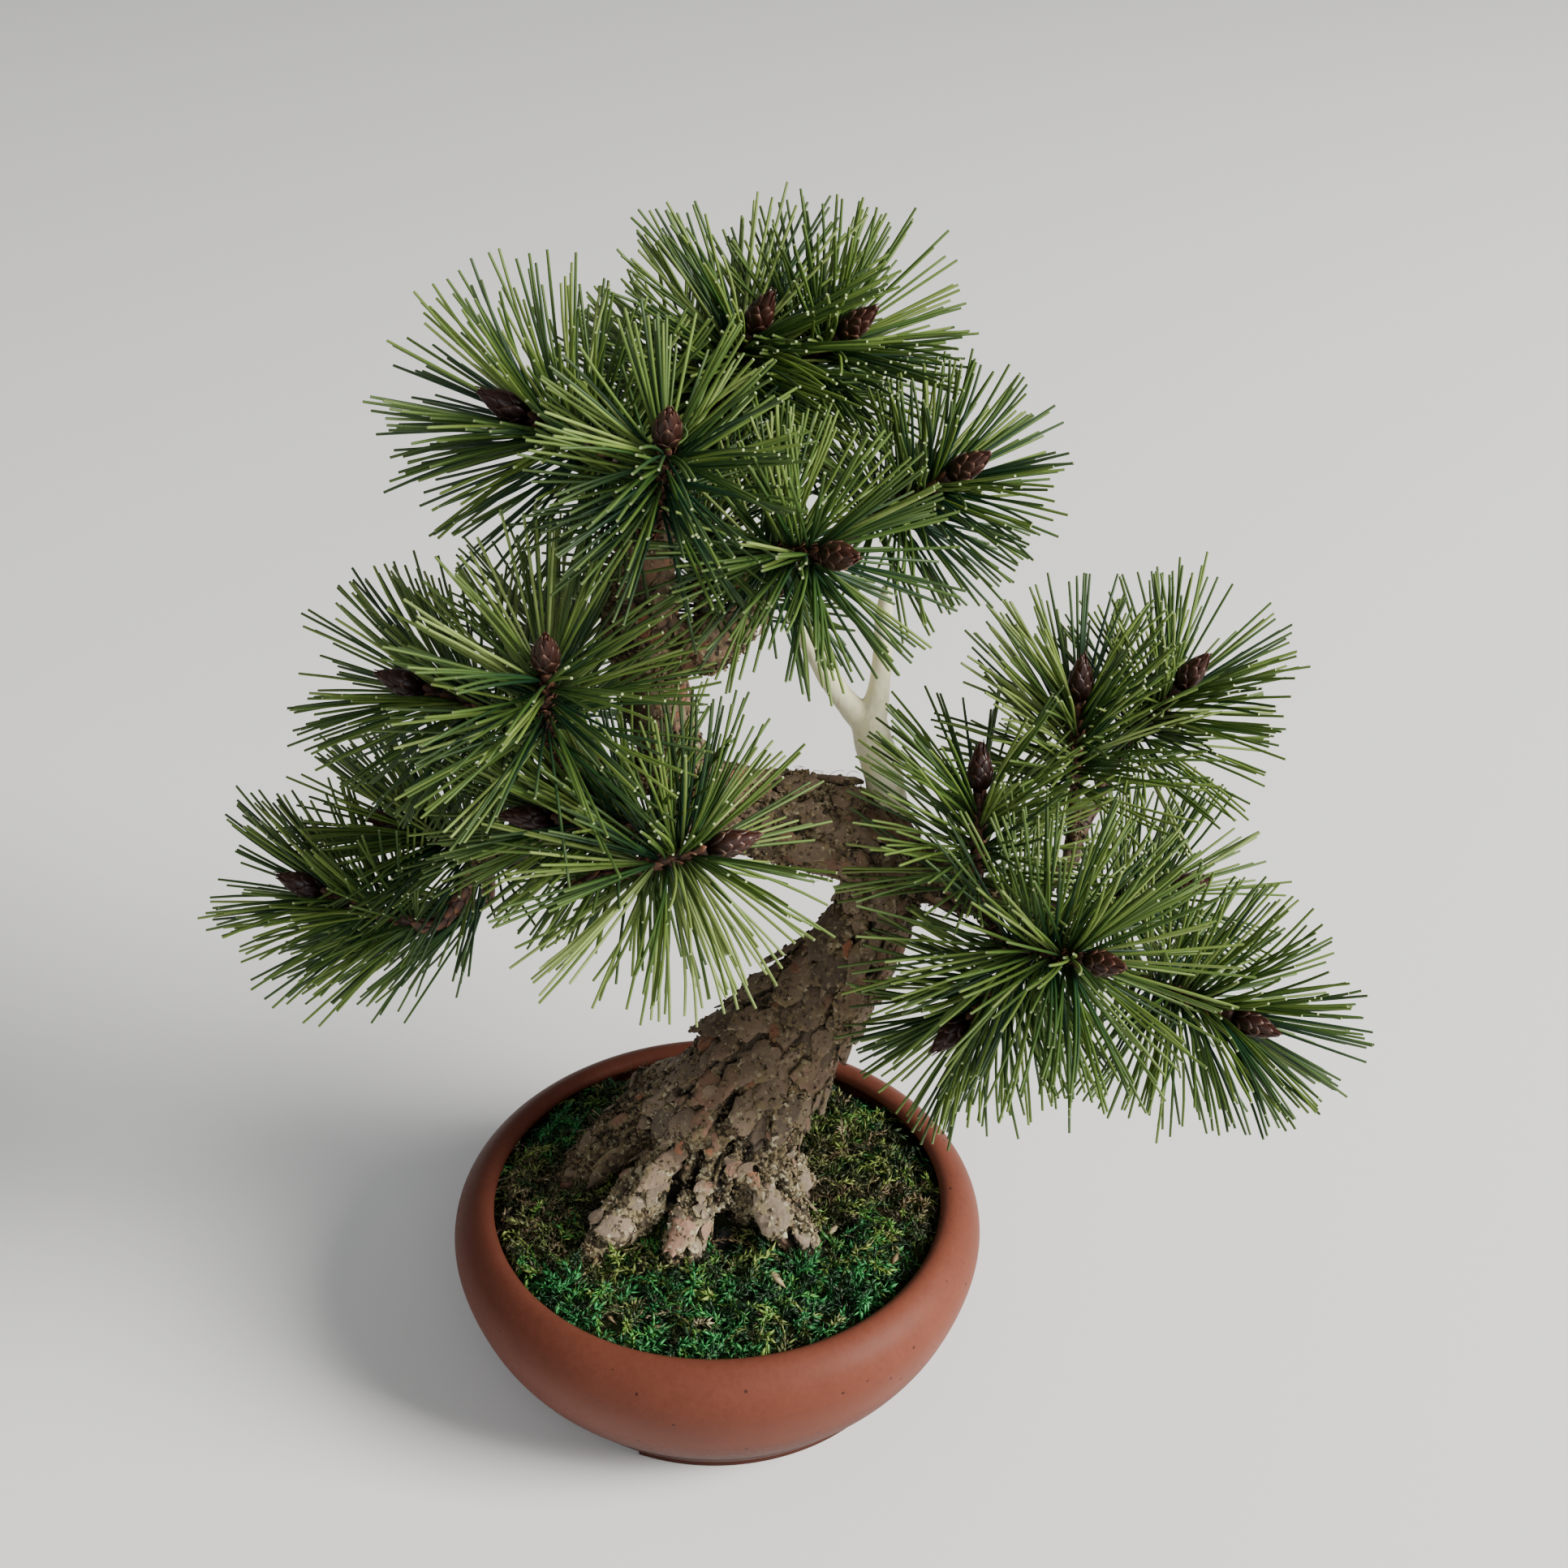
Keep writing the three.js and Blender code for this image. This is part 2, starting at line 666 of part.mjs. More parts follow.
// The slim woody tip that the needles of a spray stand on, upright from the origin.
function woodyTip() {
  const length = TIP_LENGTH - GAP;
  const profile = [
    [0, 0],
    [TIP_RADIUS, 0],
    [TIP_RADIUS, length],
    [0, length],
  ];
  return solidOf(turned(profile, TIP_SIDES));
}

function needleSprays() {
  const draw = seededDraw(NEEDLE_SEED);
  const placed = obstacles();
  for (const [name, spray] of Object.entries(SPRAYS)) {
    const { axis, tipBase } = sprayAxis(spray);
    const needles = drawNeedles(name, spray, placed, draw);
    placed.push(...needles);
    const upright = turnTo(axis).invert();
    const local = (point) => point.clone().sub(tipBase).applyQuaternion(upright);
    const rods = needles.map(({ a, b }) => needleSolid(local(a), local(b)));
    const solid = mainBody(joined([woodyTip(), ...rods]));
    const mesh = addMesh(`needles_${name}`, geometryOf(solid), pineNeedles());
    mesh.position.copy(tipBase);
    mesh.quaternion.copy(turnTo(axis));
  }
}

// A bud is an ovoid with a drawn-out point, raised into scales on two crossing spirals.
function budGeometry() {
  const profile = Array.from({ length: BUD_RINGS + 1 }, (_, ring) => {
    const share = ring / BUD_RINGS;
    const reach = BUD_RADIUS * Math.sin(Math.PI * share ** BUD_LEAN) ** BUD_ROUNDING;
    return [reach, BUD_LENGTH * share];
  });
  profile[0][0] = 0;
  profile[BUD_RINGS][0] = 0;
  const geometry = turned(profile, BUD_SIDES);
  const position = geometry.getAttribute("position");
  for (let i = 0; i < position.count; i += 1) {
    const [x, y, z] = [position.getX(i), position.getY(i), position.getZ(i)];
    const reach = Math.hypot(x, y);
    if (reach < 0.5) continue;
    const ring = Math.round((z / BUD_LENGTH) * BUD_RINGS);
    const side = Math.round((Math.atan2(y, x) / (2 * Math.PI)) * BUD_SIDES);
    const lift = 1 + (((ring + side) % 2 === 0 ? 1 : -1) * SCALE_LIFT) / reach;
    position.setXY(i, x * lift, y * lift);
  }
  return geometry;
}

function buds() {
  for (const [name, spray] of Object.entries(SPRAYS)) {
    if (spray.budless) continue;
    const { axis, budBase } = sprayAxis(spray);
    const mesh = addMesh(`bud_${name}`, geometryOf(solidOf(budGeometry())), budScales());
    mesh.position.copy(budBase);
    mesh.quaternion.copy(turnTo(axis));
  }
}

// ---- Assembly --------------------------------------------------------------------------------

const bark = wood(0);
const holes = wood(SEAT_GAP);
addMesh("pot", geometryOf(pot()), terracotta());
addMesh("soil", geometryOf(soil(holes)), darkSoil());
addMesh("moss", geometryOf(moss(holes)), greenMoss());
addMesh("trunk", geometryOf(mainBody(bark)), pineBark());
addMesh("deadwood", geometryOf(deadwood(holes)), bleachedWood());
needleSprays();
buds();

export default bonsai;
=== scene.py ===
"""The looks of a leaning pine bonsai in a round unglazed pot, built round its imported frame.

Lengths are in metres, +Z is up, +X is to the right and +Y to the back. The origin is the centre of
the pot on the surface that it stands on.
"""

from __future__ import annotations

import logging
import math
from collections.abc import Iterator, Sequence
from dataclasses import dataclass, field
from enum import Enum

import bpy
import numpy as np
from bpy.types import Material, Node, NodeSocket, NodeTree, Object
from mathutils import Matrix, Vector
from mathutils.kdtree import KDTree
from numpy.random import Generator, default_rng


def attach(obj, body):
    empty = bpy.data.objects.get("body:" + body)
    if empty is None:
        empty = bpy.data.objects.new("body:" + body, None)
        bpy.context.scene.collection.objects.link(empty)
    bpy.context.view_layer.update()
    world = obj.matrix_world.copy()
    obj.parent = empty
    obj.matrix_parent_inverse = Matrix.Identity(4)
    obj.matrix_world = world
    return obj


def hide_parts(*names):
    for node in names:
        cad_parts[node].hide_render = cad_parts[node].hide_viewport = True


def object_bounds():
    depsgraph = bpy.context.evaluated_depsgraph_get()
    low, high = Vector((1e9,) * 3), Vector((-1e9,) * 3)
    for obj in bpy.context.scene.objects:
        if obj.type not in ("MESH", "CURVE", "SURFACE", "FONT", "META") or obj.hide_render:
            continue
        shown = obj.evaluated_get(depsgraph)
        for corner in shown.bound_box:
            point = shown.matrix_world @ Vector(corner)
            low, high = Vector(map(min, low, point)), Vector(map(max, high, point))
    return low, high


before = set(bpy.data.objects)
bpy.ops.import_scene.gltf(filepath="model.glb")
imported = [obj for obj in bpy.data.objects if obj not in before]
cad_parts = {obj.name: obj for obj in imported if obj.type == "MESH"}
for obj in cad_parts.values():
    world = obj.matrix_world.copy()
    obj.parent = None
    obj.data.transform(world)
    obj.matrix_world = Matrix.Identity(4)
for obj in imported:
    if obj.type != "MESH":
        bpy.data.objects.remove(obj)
CAD_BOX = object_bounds()

LOG = logging.getLogger("bonsai")
BODY = "root"
UP = np.array([0.0, 0.0, 1.0])
CHUNK = 4000
FULL_TURN = 2 * math.pi
GOLDEN_TURN = math.pi * (3 - math.sqrt(5))

Array = np.ndarray
Rgb = tuple[float, float, float]
Place = tuple[float, float, float]

# Where the tree is seen from, at its front.
VIEWPOINT = (0.0236, -0.60006, 0.60764)

# Heart line and radius of the trunk, from the foot to the last fork.
TRUNK = (
    (-0.002, 0.005, 0.044, 0.019), (0.0, 0.005, 0.062, 0.023), (0.001, 0.005, 0.078, 0.026),
    (0.006, 0.007, 0.098, 0.027), (0.020, 0.010, 0.124, 0.024), (0.040, 0.014, 0.152, 0.017),
    (0.054, 0.017, 0.176, 0.0145), (0.059, 0.020, 0.198, 0.015), (0.050, 0.021, 0.211, 0.016),
    (0.031, 0.021, 0.217, 0.0165), (0.011, 0.019, 0.222, 0.0145), (-0.006, 0.016, 0.233, 0.0125),
    (-0.015, 0.011, 0.254, 0.011), (-0.020, 0.006, 0.282, 0.0115), (-0.023, 0.002, 0.308, 0.0125),
    (-0.019, -0.002, 0.337, 0.0085), (-0.015, -0.005, 0.353, 0.006),
)

# Roots, from inside the foot of the trunk to the tip in the soil.
ROOTS = (
    ((-0.006, 0.008, 0.098, 0.013), (-0.027, 0.017, 0.084, 0.013), (-0.046, 0.015, 0.068, 0.0105),
     (-0.058, 0.012, 0.057, 0.0065), (-0.063, 0.012, 0.049, 0.0045)),
    ((-0.006, -0.002, 0.092, 0.012), (-0.024, -0.011, 0.076, 0.011), (-0.038, -0.021, 0.065, 0.0085),
     (-0.046, -0.027, 0.056, 0.0055), (-0.049, -0.029, 0.049, 0.0045)),
    ((0.0, -0.004, 0.088, 0.011), (-0.008, -0.018, 0.074, 0.009), (-0.012, -0.028, 0.064, 0.0075),
     (-0.013, -0.035, 0.056, 0.006), (-0.013, -0.037, 0.049, 0.005)),
    ((0.008, -0.002, 0.090, 0.012), (0.020, -0.013, 0.076, 0.0105), (0.029, -0.020, 0.065, 0.0085),
     (0.034, -0.024, 0.056, 0.006), (0.036, -0.026, 0.049, 0.005)),
    ((0.010, 0.006, 0.086, 0.011), (0.024, 0.005, 0.072, 0.0085), (0.031, 0.004, 0.062, 0.0065),
     (0.034, 0.004, 0.055, 0.005), (0.036, 0.004, 0.049, 0.004)),
    ((-0.004, 0.014, 0.098, 0.013), (-0.018, 0.034, 0.084, 0.012), (-0.028, 0.050, 0.070, 0.0095),
     (-0.033, 0.060, 0.057, 0.0065), (-0.035, 0.064, 0.049, 0.0045)),
    ((0.008, 0.014, 0.092, 0.011), (0.016, 0.028, 0.076, 0.009), (0.020, 0.039, 0.065, 0.007),
     (0.022, 0.046, 0.056, 0.0055), (0.023, 0.049, 0.049, 0.0045)),
)

# Limbs that leave the trunk and fork again.
LIMBS = (
    ((0.057, 0.020, 0.199, 0.011), (0.068, 0.017, 0.200, 0.0105), (0.079, 0.012, 0.198, 0.0095),
     (0.092, 0.006, 0.195, 0.007)),
    ((0.086, 0.009, 0.196, 0.006), (0.110, 0.009, 0.195, 0.0045), (0.122, 0.014, 0.204, 0.0038),
     (0.125, 0.018, 0.219, 0.0032)),
    ((-0.008, 0.014, 0.243, 0.008), (-0.034, 0.006, 0.240, 0.007), (-0.062, 0.010, 0.221, 0.0055),
     (-0.088, 0.012, 0.197, 0.004)),
    ((-0.020, 0.005, 0.288, 0.009), (-0.009, 0.004, 0.294, 0.0095), (0.0, 0.003, 0.297, 0.0105),
     (0.008, 0.003, 0.303, 0.008), (0.015, 0.004, 0.311, 0.0055)),
    ((-0.018, -0.003, 0.338, 0.006), (-0.008, 0.018, 0.353, 0.0052), (-0.006, 0.030, 0.356, 0.0035)),
)

# The bleached dead branch: its stem and the two arms of its fork.
DEADWOOD = (
    ((0.060, 0.024, 0.210, 0.008), (0.059, 0.028, 0.228, 0.007), (0.054, 0.035, 0.243, 0.0068),
     (0.052, 0.037, 0.250, 0.0063)),
    ((0.053, 0.036, 0.246, 0.0055), (0.043, 0.040, 0.257, 0.004), (0.036, 0.043, 0.268, 0.0036),
     (0.030, 0.045, 0.278, 0.0034), (0.025, 0.047, 0.290, 0.002)),
    ((0.053, 0.036, 0.246, 0.0055), (0.056, 0.040, 0.259, 0.004), (0.057, 0.042, 0.273, 0.0035),
     (0.057, 0.044, 0.284, 0.0032), (0.058, 0.045, 0.296, 0.002)),
)


@dataclass(frozen=True)
class Spray:
    """One spray of needles: where its bud stands, where it points and how its twig runs."""

    name: str
    bud: Place
    heading: float
    rise: float
    twig: tuple[Place, ...]
    budless: bool = False
    fan: tuple[float, float] = (96.0, 40.0)
    reach: tuple[float, float] = (0.043, 0.051)
    fullness: float = 1.0
    gather: float = 0.0
    shade: float = 0.12
    veiled: bool = False

    @property
    def axis(self) -> Array:
        """The direction in which the tip of the spray points."""
        flat = math.cos(math.radians(self.rise))
        turn = math.radians(self.heading)
        return np.array([flat * math.cos(turn), flat * math.sin(turn), math.sin(math.radians(self.rise))])


SPRAYS = (
    Spray("apex_front", (-0.010, -0.052, 0.386), -80, 55,
          ((-0.018, -0.003, 0.338), (-0.018, -0.022, 0.346)), reach=(0.037, 0.045), fullness=1.1,
          shade=0.42),
    Spray("apex_back", (0.012, 0.030, 0.390), -40, 60, ((-0.009, 0.016, 0.352), (-0.005, 0.038, 0.355)),
          reach=(0.045, 0.054), fullness=1.65, shade=0.3),
    Spray("apex_right", (0.040, 0.045, 0.384), -30, 42, ((-0.007, 0.024, 0.354), (0.008, 0.050, 0.355)),
          fan=(96.0, 32.0), fullness=1.5, shade=0.3),
    Spray("apex_left", (-0.053, -0.010, 0.377), 188, 32, ((-0.017, -0.004, 0.347), (-0.021, -0.005, 0.356)),
          fan=(98.0, 26.0), reach=(0.045, 0.054), fullness=1.5, shade=0.4),
    Spray("crown_back", (-0.014, 0.082, 0.350), 100, 18, ((-0.007, 0.026, 0.354), (-0.009, 0.044, 0.343)),
          fullness=1.4, shade=0.45, veiled=True),
    Spray("upper_right", (0.075, 0.020, 0.347), -28, 38, ((0.011, 0.004, 0.308), (0.032, 0.026, 0.313)),
          fan=(92.0, 28.0), reach=(0.038, 0.045), fullness=1.45, shade=0.4),
    Spray("upper_front", (0.034, -0.048, 0.351), -52, 18, ((0.011, 0.004, 0.308), (0.009, -0.012, 0.334)),
          fan=(104.0, 36.0), reach=(0.038, 0.046), fullness=1.15, shade=0.3),
    Spray("inner_rise", (-0.006, 0.027, 0.333), 100, 72, ((0.0, 0.003, 0.302), (-0.003, 0.014, 0.299)),
          budless=True, shade=0.35),
    Spray("left_front", (-0.046, -0.060, 0.319), -80, 62, ((-0.030, 0.007, 0.240), (-0.047, -0.030, 0.268)),
          reach=(0.043, 0.053), shade=0.2),
    Spray("left_high", (-0.092, -0.005, 0.282), 180, 20, ((-0.030, 0.007, 0.240), (-0.048, -0.003, 0.262)),
          fan=(98.0, 22.0), fullness=1.3, shade=0.3),
    Spray("left_rear", (-0.060, 0.075, 0.262), 110, 32, ((-0.034, 0.007, 0.239), (-0.044, 0.034, 0.238)),
          shade=0.3, veiled=True),
    Spray("left_inner", (-0.049, -0.035, 0.252), 185, 8, ((-0.010, 0.013, 0.244), (-0.004, -0.026, 0.245)),
          fan=(104.0, 16.0), fullness=1.5),
    Spray("left_back", (-0.107, 0.020, 0.213), 195, 30, ((-0.060, 0.010, 0.221), (-0.072, 0.026, 0.195)),
          fan=(88.0, 20.0), fullness=1.5, shade=0.35, veiled=True),
    Spray("left_tip", (-0.136, 0.005, 0.196), 182, 25, ((-0.084, 0.012, 0.199), (-0.098, 0.008, 0.181)),
          fan=(66.0, 22.0)),
    Spray("left_low", (-0.119, 0.040, 0.156), 172, -24, ((-0.080, 0.012, 0.202), (-0.084, 0.030, 0.177)),
          budless=True, fan=(38.0, 6.0), reach=(0.042, 0.054), fullness=0.9, shade=0.25),
    Spray("centre_front", (0.0, -0.058, 0.256), 5, 15,
          ((-0.010, 0.013, 0.240), (-0.030, -0.024, 0.229), (-0.042, -0.058, 0.240)), fan=(150.0, 38.0),
          reach=(0.044, 0.052), fullness=1.25, gather=0.42, shade=-0.32),
    Spray("right_inner", (0.089, 0.0, 0.242), 90, 72, ((0.084, 0.010, 0.197), (0.088, -0.010, 0.203)),
          shade=-0.12),
    Spray("right_high", (0.123, 0.022, 0.265), 90, 86, ((0.125, 0.018, 0.214), (0.124, 0.020, 0.226)),
          fan=(86.0, 26.0), fullness=1.2, shade=-0.1),
    Spray("right_back_high", (0.160, 0.042, 0.260), -20, 58, ((0.124, 0.016, 0.210), (0.139, 0.044, 0.223)),
          fan=(88.0, 30.0), fullness=1.15, shade=-0.08),
    Spray("right_front", (0.120, -0.056, 0.214), -48, 20, ((0.089, 0.008, 0.195), (0.095, -0.020, 0.199)),
          fan=(112.0, 38.0), reach=(0.046, 0.057), fullness=1.4),
    Spray("right_tip", (0.175, -0.036, 0.177), -38, 2,
          ((0.090, 0.008, 0.195), (0.118, 0.0, 0.186), (0.136, -0.009, 0.178)), fan=(100.0, 18.0),
          fullness=1.45),
    Spray("right_low", (0.087, -0.030, 0.171), 212, -32, ((0.090, 0.007, 0.194), (0.113, -0.006, 0.195)),
          fan=(84.0, 22.0), fullness=1.1),
    Spray("right_back", (0.163, 0.032, 0.182), -20, 30, ((0.090, 0.009, 0.195), (0.122, 0.040, 0.168)),
          veiled=True),
)


# The spray whose bud carries a curl of green thread, and the way of the thread from the foot of the
# bud, in millimetres across and up, seen from the front.
THREADED = "apex_front"
THREAD = (
    (4.1, 4.4), (5.5, 3.6), (6.0, 1.9), (5.0, 0.5), (3.4, -0.5), (1.9, 0.0), (1.2, -1.9), (-0.2, -1.7),
    (-1.0, -0.5), (-0.5, 0.7), (0.7, 1.0),
)


@dataclass(frozen=True)
class Slab:
    """A large plate of bark: where it lies, its half sizes, its tone and its turn off the grain."""

    place: Place
    half_long: float
    half_wide: float
    tone: float
    turn: float = 0.0


# The plates that stand out at the front, from the tall upper trunk down to the ends of the roots.
SLABS = (
    Slab((-0.015, -0.008, 0.317), 0.0070, 0.0055, 0.45),
    Slab((-0.006, -0.006, 0.295), 0.0055, 0.0050, 0.92),
    Slab((0.007, 0.015, 0.240), 0.0055, 0.0035, 0.95),
    Slab((0.028, 0.018, 0.232), 0.0090, 0.0065, 0.55),
    Slab((0.061, 0.008, 0.209), 0.0075, 0.0060, 0.25),
    Slab((0.058, 0.005, 0.194), 0.0080, 0.0060, 0.35),
    Slab((0.052, 0.002, 0.174), 0.0105, 0.0050, 0.30),
    Slab((0.032, -0.004, 0.152), 0.0095, 0.0065, 0.20),
    Slab((0.003, 0.006, 0.140), 0.0090, 0.0070, 0.12),
    Slab((0.016, -0.010, 0.136), 0.0090, 0.0078, 0.38, 8.0),
    Slab((0.035, -0.009, 0.131), 0.0090, 0.0080, 0.64, -10.0),
    Slab((-0.003, -0.009, 0.121), 0.0078, 0.0068, 0.72, 12.0),
    Slab((-0.013, 0.004, 0.117), 0.0135, 0.0046, 0.22),
    Slab((0.011, -0.016, 0.118), 0.0070, 0.0066, 0.45, -15.0),
    Slab((-0.019, -0.016, 0.090), 0.0110, 0.0050, 0.62),
    Slab((0.015, -0.019, 0.086), 0.0065, 0.0024, 0.95),
    Slab((0.021, -0.024, 0.077), 0.0110, 0.0078, 0.42, 6.0),
    Slab((-0.012, -0.030, 0.072), 0.0092, 0.0056, 0.86),
    Slab((-0.036, -0.027, 0.071), 0.0080, 0.0062, 0.60),
    Slab((-0.040, 0.002, 0.076), 0.0120, 0.0050, 0.15),
)

# Both ends of the deep slits in the flare of the trunk.
SLITS = (
    ((-0.013, -0.016, 0.091), (-0.016, -0.020, 0.077)),
    ((-0.006, -0.018, 0.097), (-0.009, -0.019, 0.085)),
    ((0.006, -0.020, 0.103), (0.002, -0.021, 0.086)),
    ((0.020, -0.016, 0.094), (0.028, -0.019, 0.081)),
    ((0.007, -0.014, 0.121), (0.0, -0.016, 0.111)),
    ((-0.025, 0.002, 0.092), (-0.031, -0.014, 0.080)),
    ((0.0523, 0.003, 0.1896), (0.0540, 0.003, 0.1723)),
    ((0.0481, 0.003, 0.1896), (0.0467, 0.003, 0.1764)),
)

# Least and greatest half sizes of a chip of bark: its length, width and thickness.
CHIP_SIZES = ((0.0018, 0.0048), (0.0009, 0.0022), (0.0005, 0.0010))

# Chips that lie in sight: place and direction on the plan, then half length, width and thickness.
LAID_CHIPS = (
    (0.0218, -0.0424, 0.62, -0.78, 0.0078, 0.0017, 0.0011),
    (-0.0795, 0.0160, 0.30, 0.95, 0.0034, 0.0013, 0.0008),
)


class Slot(Enum):
    """Names of the record's material slots."""

    TERRACOTTA = "terracotta"
    MOSS = "moss"
    BARK = "bark"
    DEADWOOD = "deadwood"
    NEEDLES = "needles"
    BUD_SCALES = "bud_scales"


class Growth(Enum):
    """Which kind of wood a stretch of bark grows on."""

    TRUNK = "trunk"
    ROOT = "root"
    LIMB = "limb"


# ---- Mesh work ----


@dataclass
class Shell:
    """Points, faces and named values of one or more closed surfaces."""

    points: Array
    quads: Array = field(default_factory=lambda: np.zeros((0, 4), int))
    tris: Array = field(default_factory=lambda: np.zeros((0, 3), int))
    values: dict[str, Array] = field(default_factory=dict)

    def tagged(self, **values: float | Array) -> Shell:
        """Gives every point the named values.

        Args:
            values: A number, or one number for each point, under each name.

        Returns:
            The shell itself.
        """
        for name, value in values.items():
            self.values[name] = np.broadcast_to(np.asarray(value, float), len(self.points)).copy()
        return self

    def to_object(self, name: str, material: Material, crisp: float | None = None) -> Object:
        """Makes a smooth-shaded object of the shell.

        Args:
            name: The object's name.
            material: What it is dressed in.
            crisp: The angle in degrees from which an edge stays sharp, or none.

        Returns:
            The object, linked to the scene.
        """
        mesh = bpy.data.meshes.new(name)
        corners = np.concatenate([self.quads.ravel(), self.tris.ravel()]).astype(np.int32)
        sizes = np.concatenate([np.full(len(self.quads), 4), np.full(len(self.tris), 3)])
        starts = np.concatenate([[0], np.cumsum(sizes)[:-1]]).astype(np.int32)
        mesh.vertices.add(len(self.points))
        mesh.vertices.foreach_set("co", self.points.astype(np.float32).ravel())
        mesh.loops.add(len(corners))
        mesh.loops.foreach_set("vertex_index", corners)
        mesh.polygons.add(len(starts))
        mesh.polygons.foreach_set("loop_start", starts)
        mesh.update(calc_edges=True)
        mesh.validate()
        mesh.shade_smooth()
        if crisp is not None:
            mesh.set_sharp_from_angle(angle=math.radians(crisp))
        for key, value in self.values.items():
            layer = mesh.attributes.new(key, "FLOAT", "POINT")
            layer.data.foreach_set("value", value.astype(np.float32))
        mesh.materials.append(material)
        made = bpy.data.objects.new(name, mesh)
        bpy.context.scene.collection.objects.link(made)
        return made


def joined(shells: Sequence[Shell]) -> Shell:
    """Puts several shells into one.

    Args:
        shells: The shells, which are left as they are.

    Returns:
        One shell that holds them all. A value that one of them lacks is 0 there.
    """
    starts = np.concatenate([[0], np.cumsum([len(s.points) for s in shells])[:-1]]).astype(int)
    names = sorted({name for shell in shells for name in shell.values})
    blank = [np.zeros(len(s.points)) for s in shells]
    return Shell(
        np.concatenate([s.points for s in shells]),
        np.concatenate([s.quads + start for s, start in zip(shells, starts)]),
        np.concatenate([s.tris + start for s, start in zip(shells, starts)]),
        {n: np.concatenate([s.values.get(n, z) for s, z in zip(shells, blank)]) for n in names},
    )


def unit(vectors: Array) -> Array:
    """Vectors at length 1."""
    return vectors / np.maximum(np.linalg.norm(vectors, axis=-1, keepdims=True), 1e-12)


def smoothstep(value: Array) -> Array:
    """A soft step from 0 at 0 to 1 at 1."""
    held = np.clip(value, 0, 1)
    return held * held * (3 - 2 * held)


def even_turns(sides: int) -> Array:
    """Even angles round a full turn."""
    return np.linspace(0, FULL_TURN, sides, endpoint=False)


def chunks(count: int) -> Iterator[slice]:
    """Slices that cover so many points, a few thousand at a time to spare memory."""
    return (slice(start, start + CHUNK) for start in range(0, count, CHUNK))


def ways(turn: Array) -> Array:
    """Directions on the plan at angles from +X."""
    return np.stack([np.cos(turn), np.sin(turn)], axis=-1)


def passing(t: Array, start: float, end: float, first: Array, second: Array) -> Array:
    """Where a point is at times t that passes the first point at start and the second at end."""
    return ((end - t) * first + (t - start) * second) / (end - start)


def run_length(line: Array) -> Array:
    """How far each point of a line lies from its start, measured along it."""
    return np.concatenate([[0], np.cumsum(np.linalg.norm(np.diff(line, axis=0), axis=1))])


def between(where: Array, steps: Array, rows: Array) -> Array:
    """Rows of three values, read off between the steps at which they are known."""
    return np.stack([np.interp(where, steps, rows[:, k]) for k in range(3)], axis=-1)


def picked(chance: Array, count: int, draw: Generator) -> Array:
    """Different indices, each drawn by its chance."""
    return draw.choice(len(chance), count, p=chance / chance.sum(), replace=False)


def nearest_plate(delta: Array, grain: Array, known: Array, size: Sequence[float]) -> float:
    """How near a new plate comes to the known ones.

    Args:
        delta: The way from the new plate to each of the others.
        grain: The grain at the new plate.
        known: Half length and half width of the others.
        size: The same of the new one.

    Returns:
        The square of its least distance, where 1 is the distance at which two plates would touch.
    """
    along = delta @ grain
    across = (delta**2).sum(1) - along**2
    return ((along / (known[:, 0] + size[0])) ** 2 + across / (known[:, 1] + size[1]) ** 2).min()


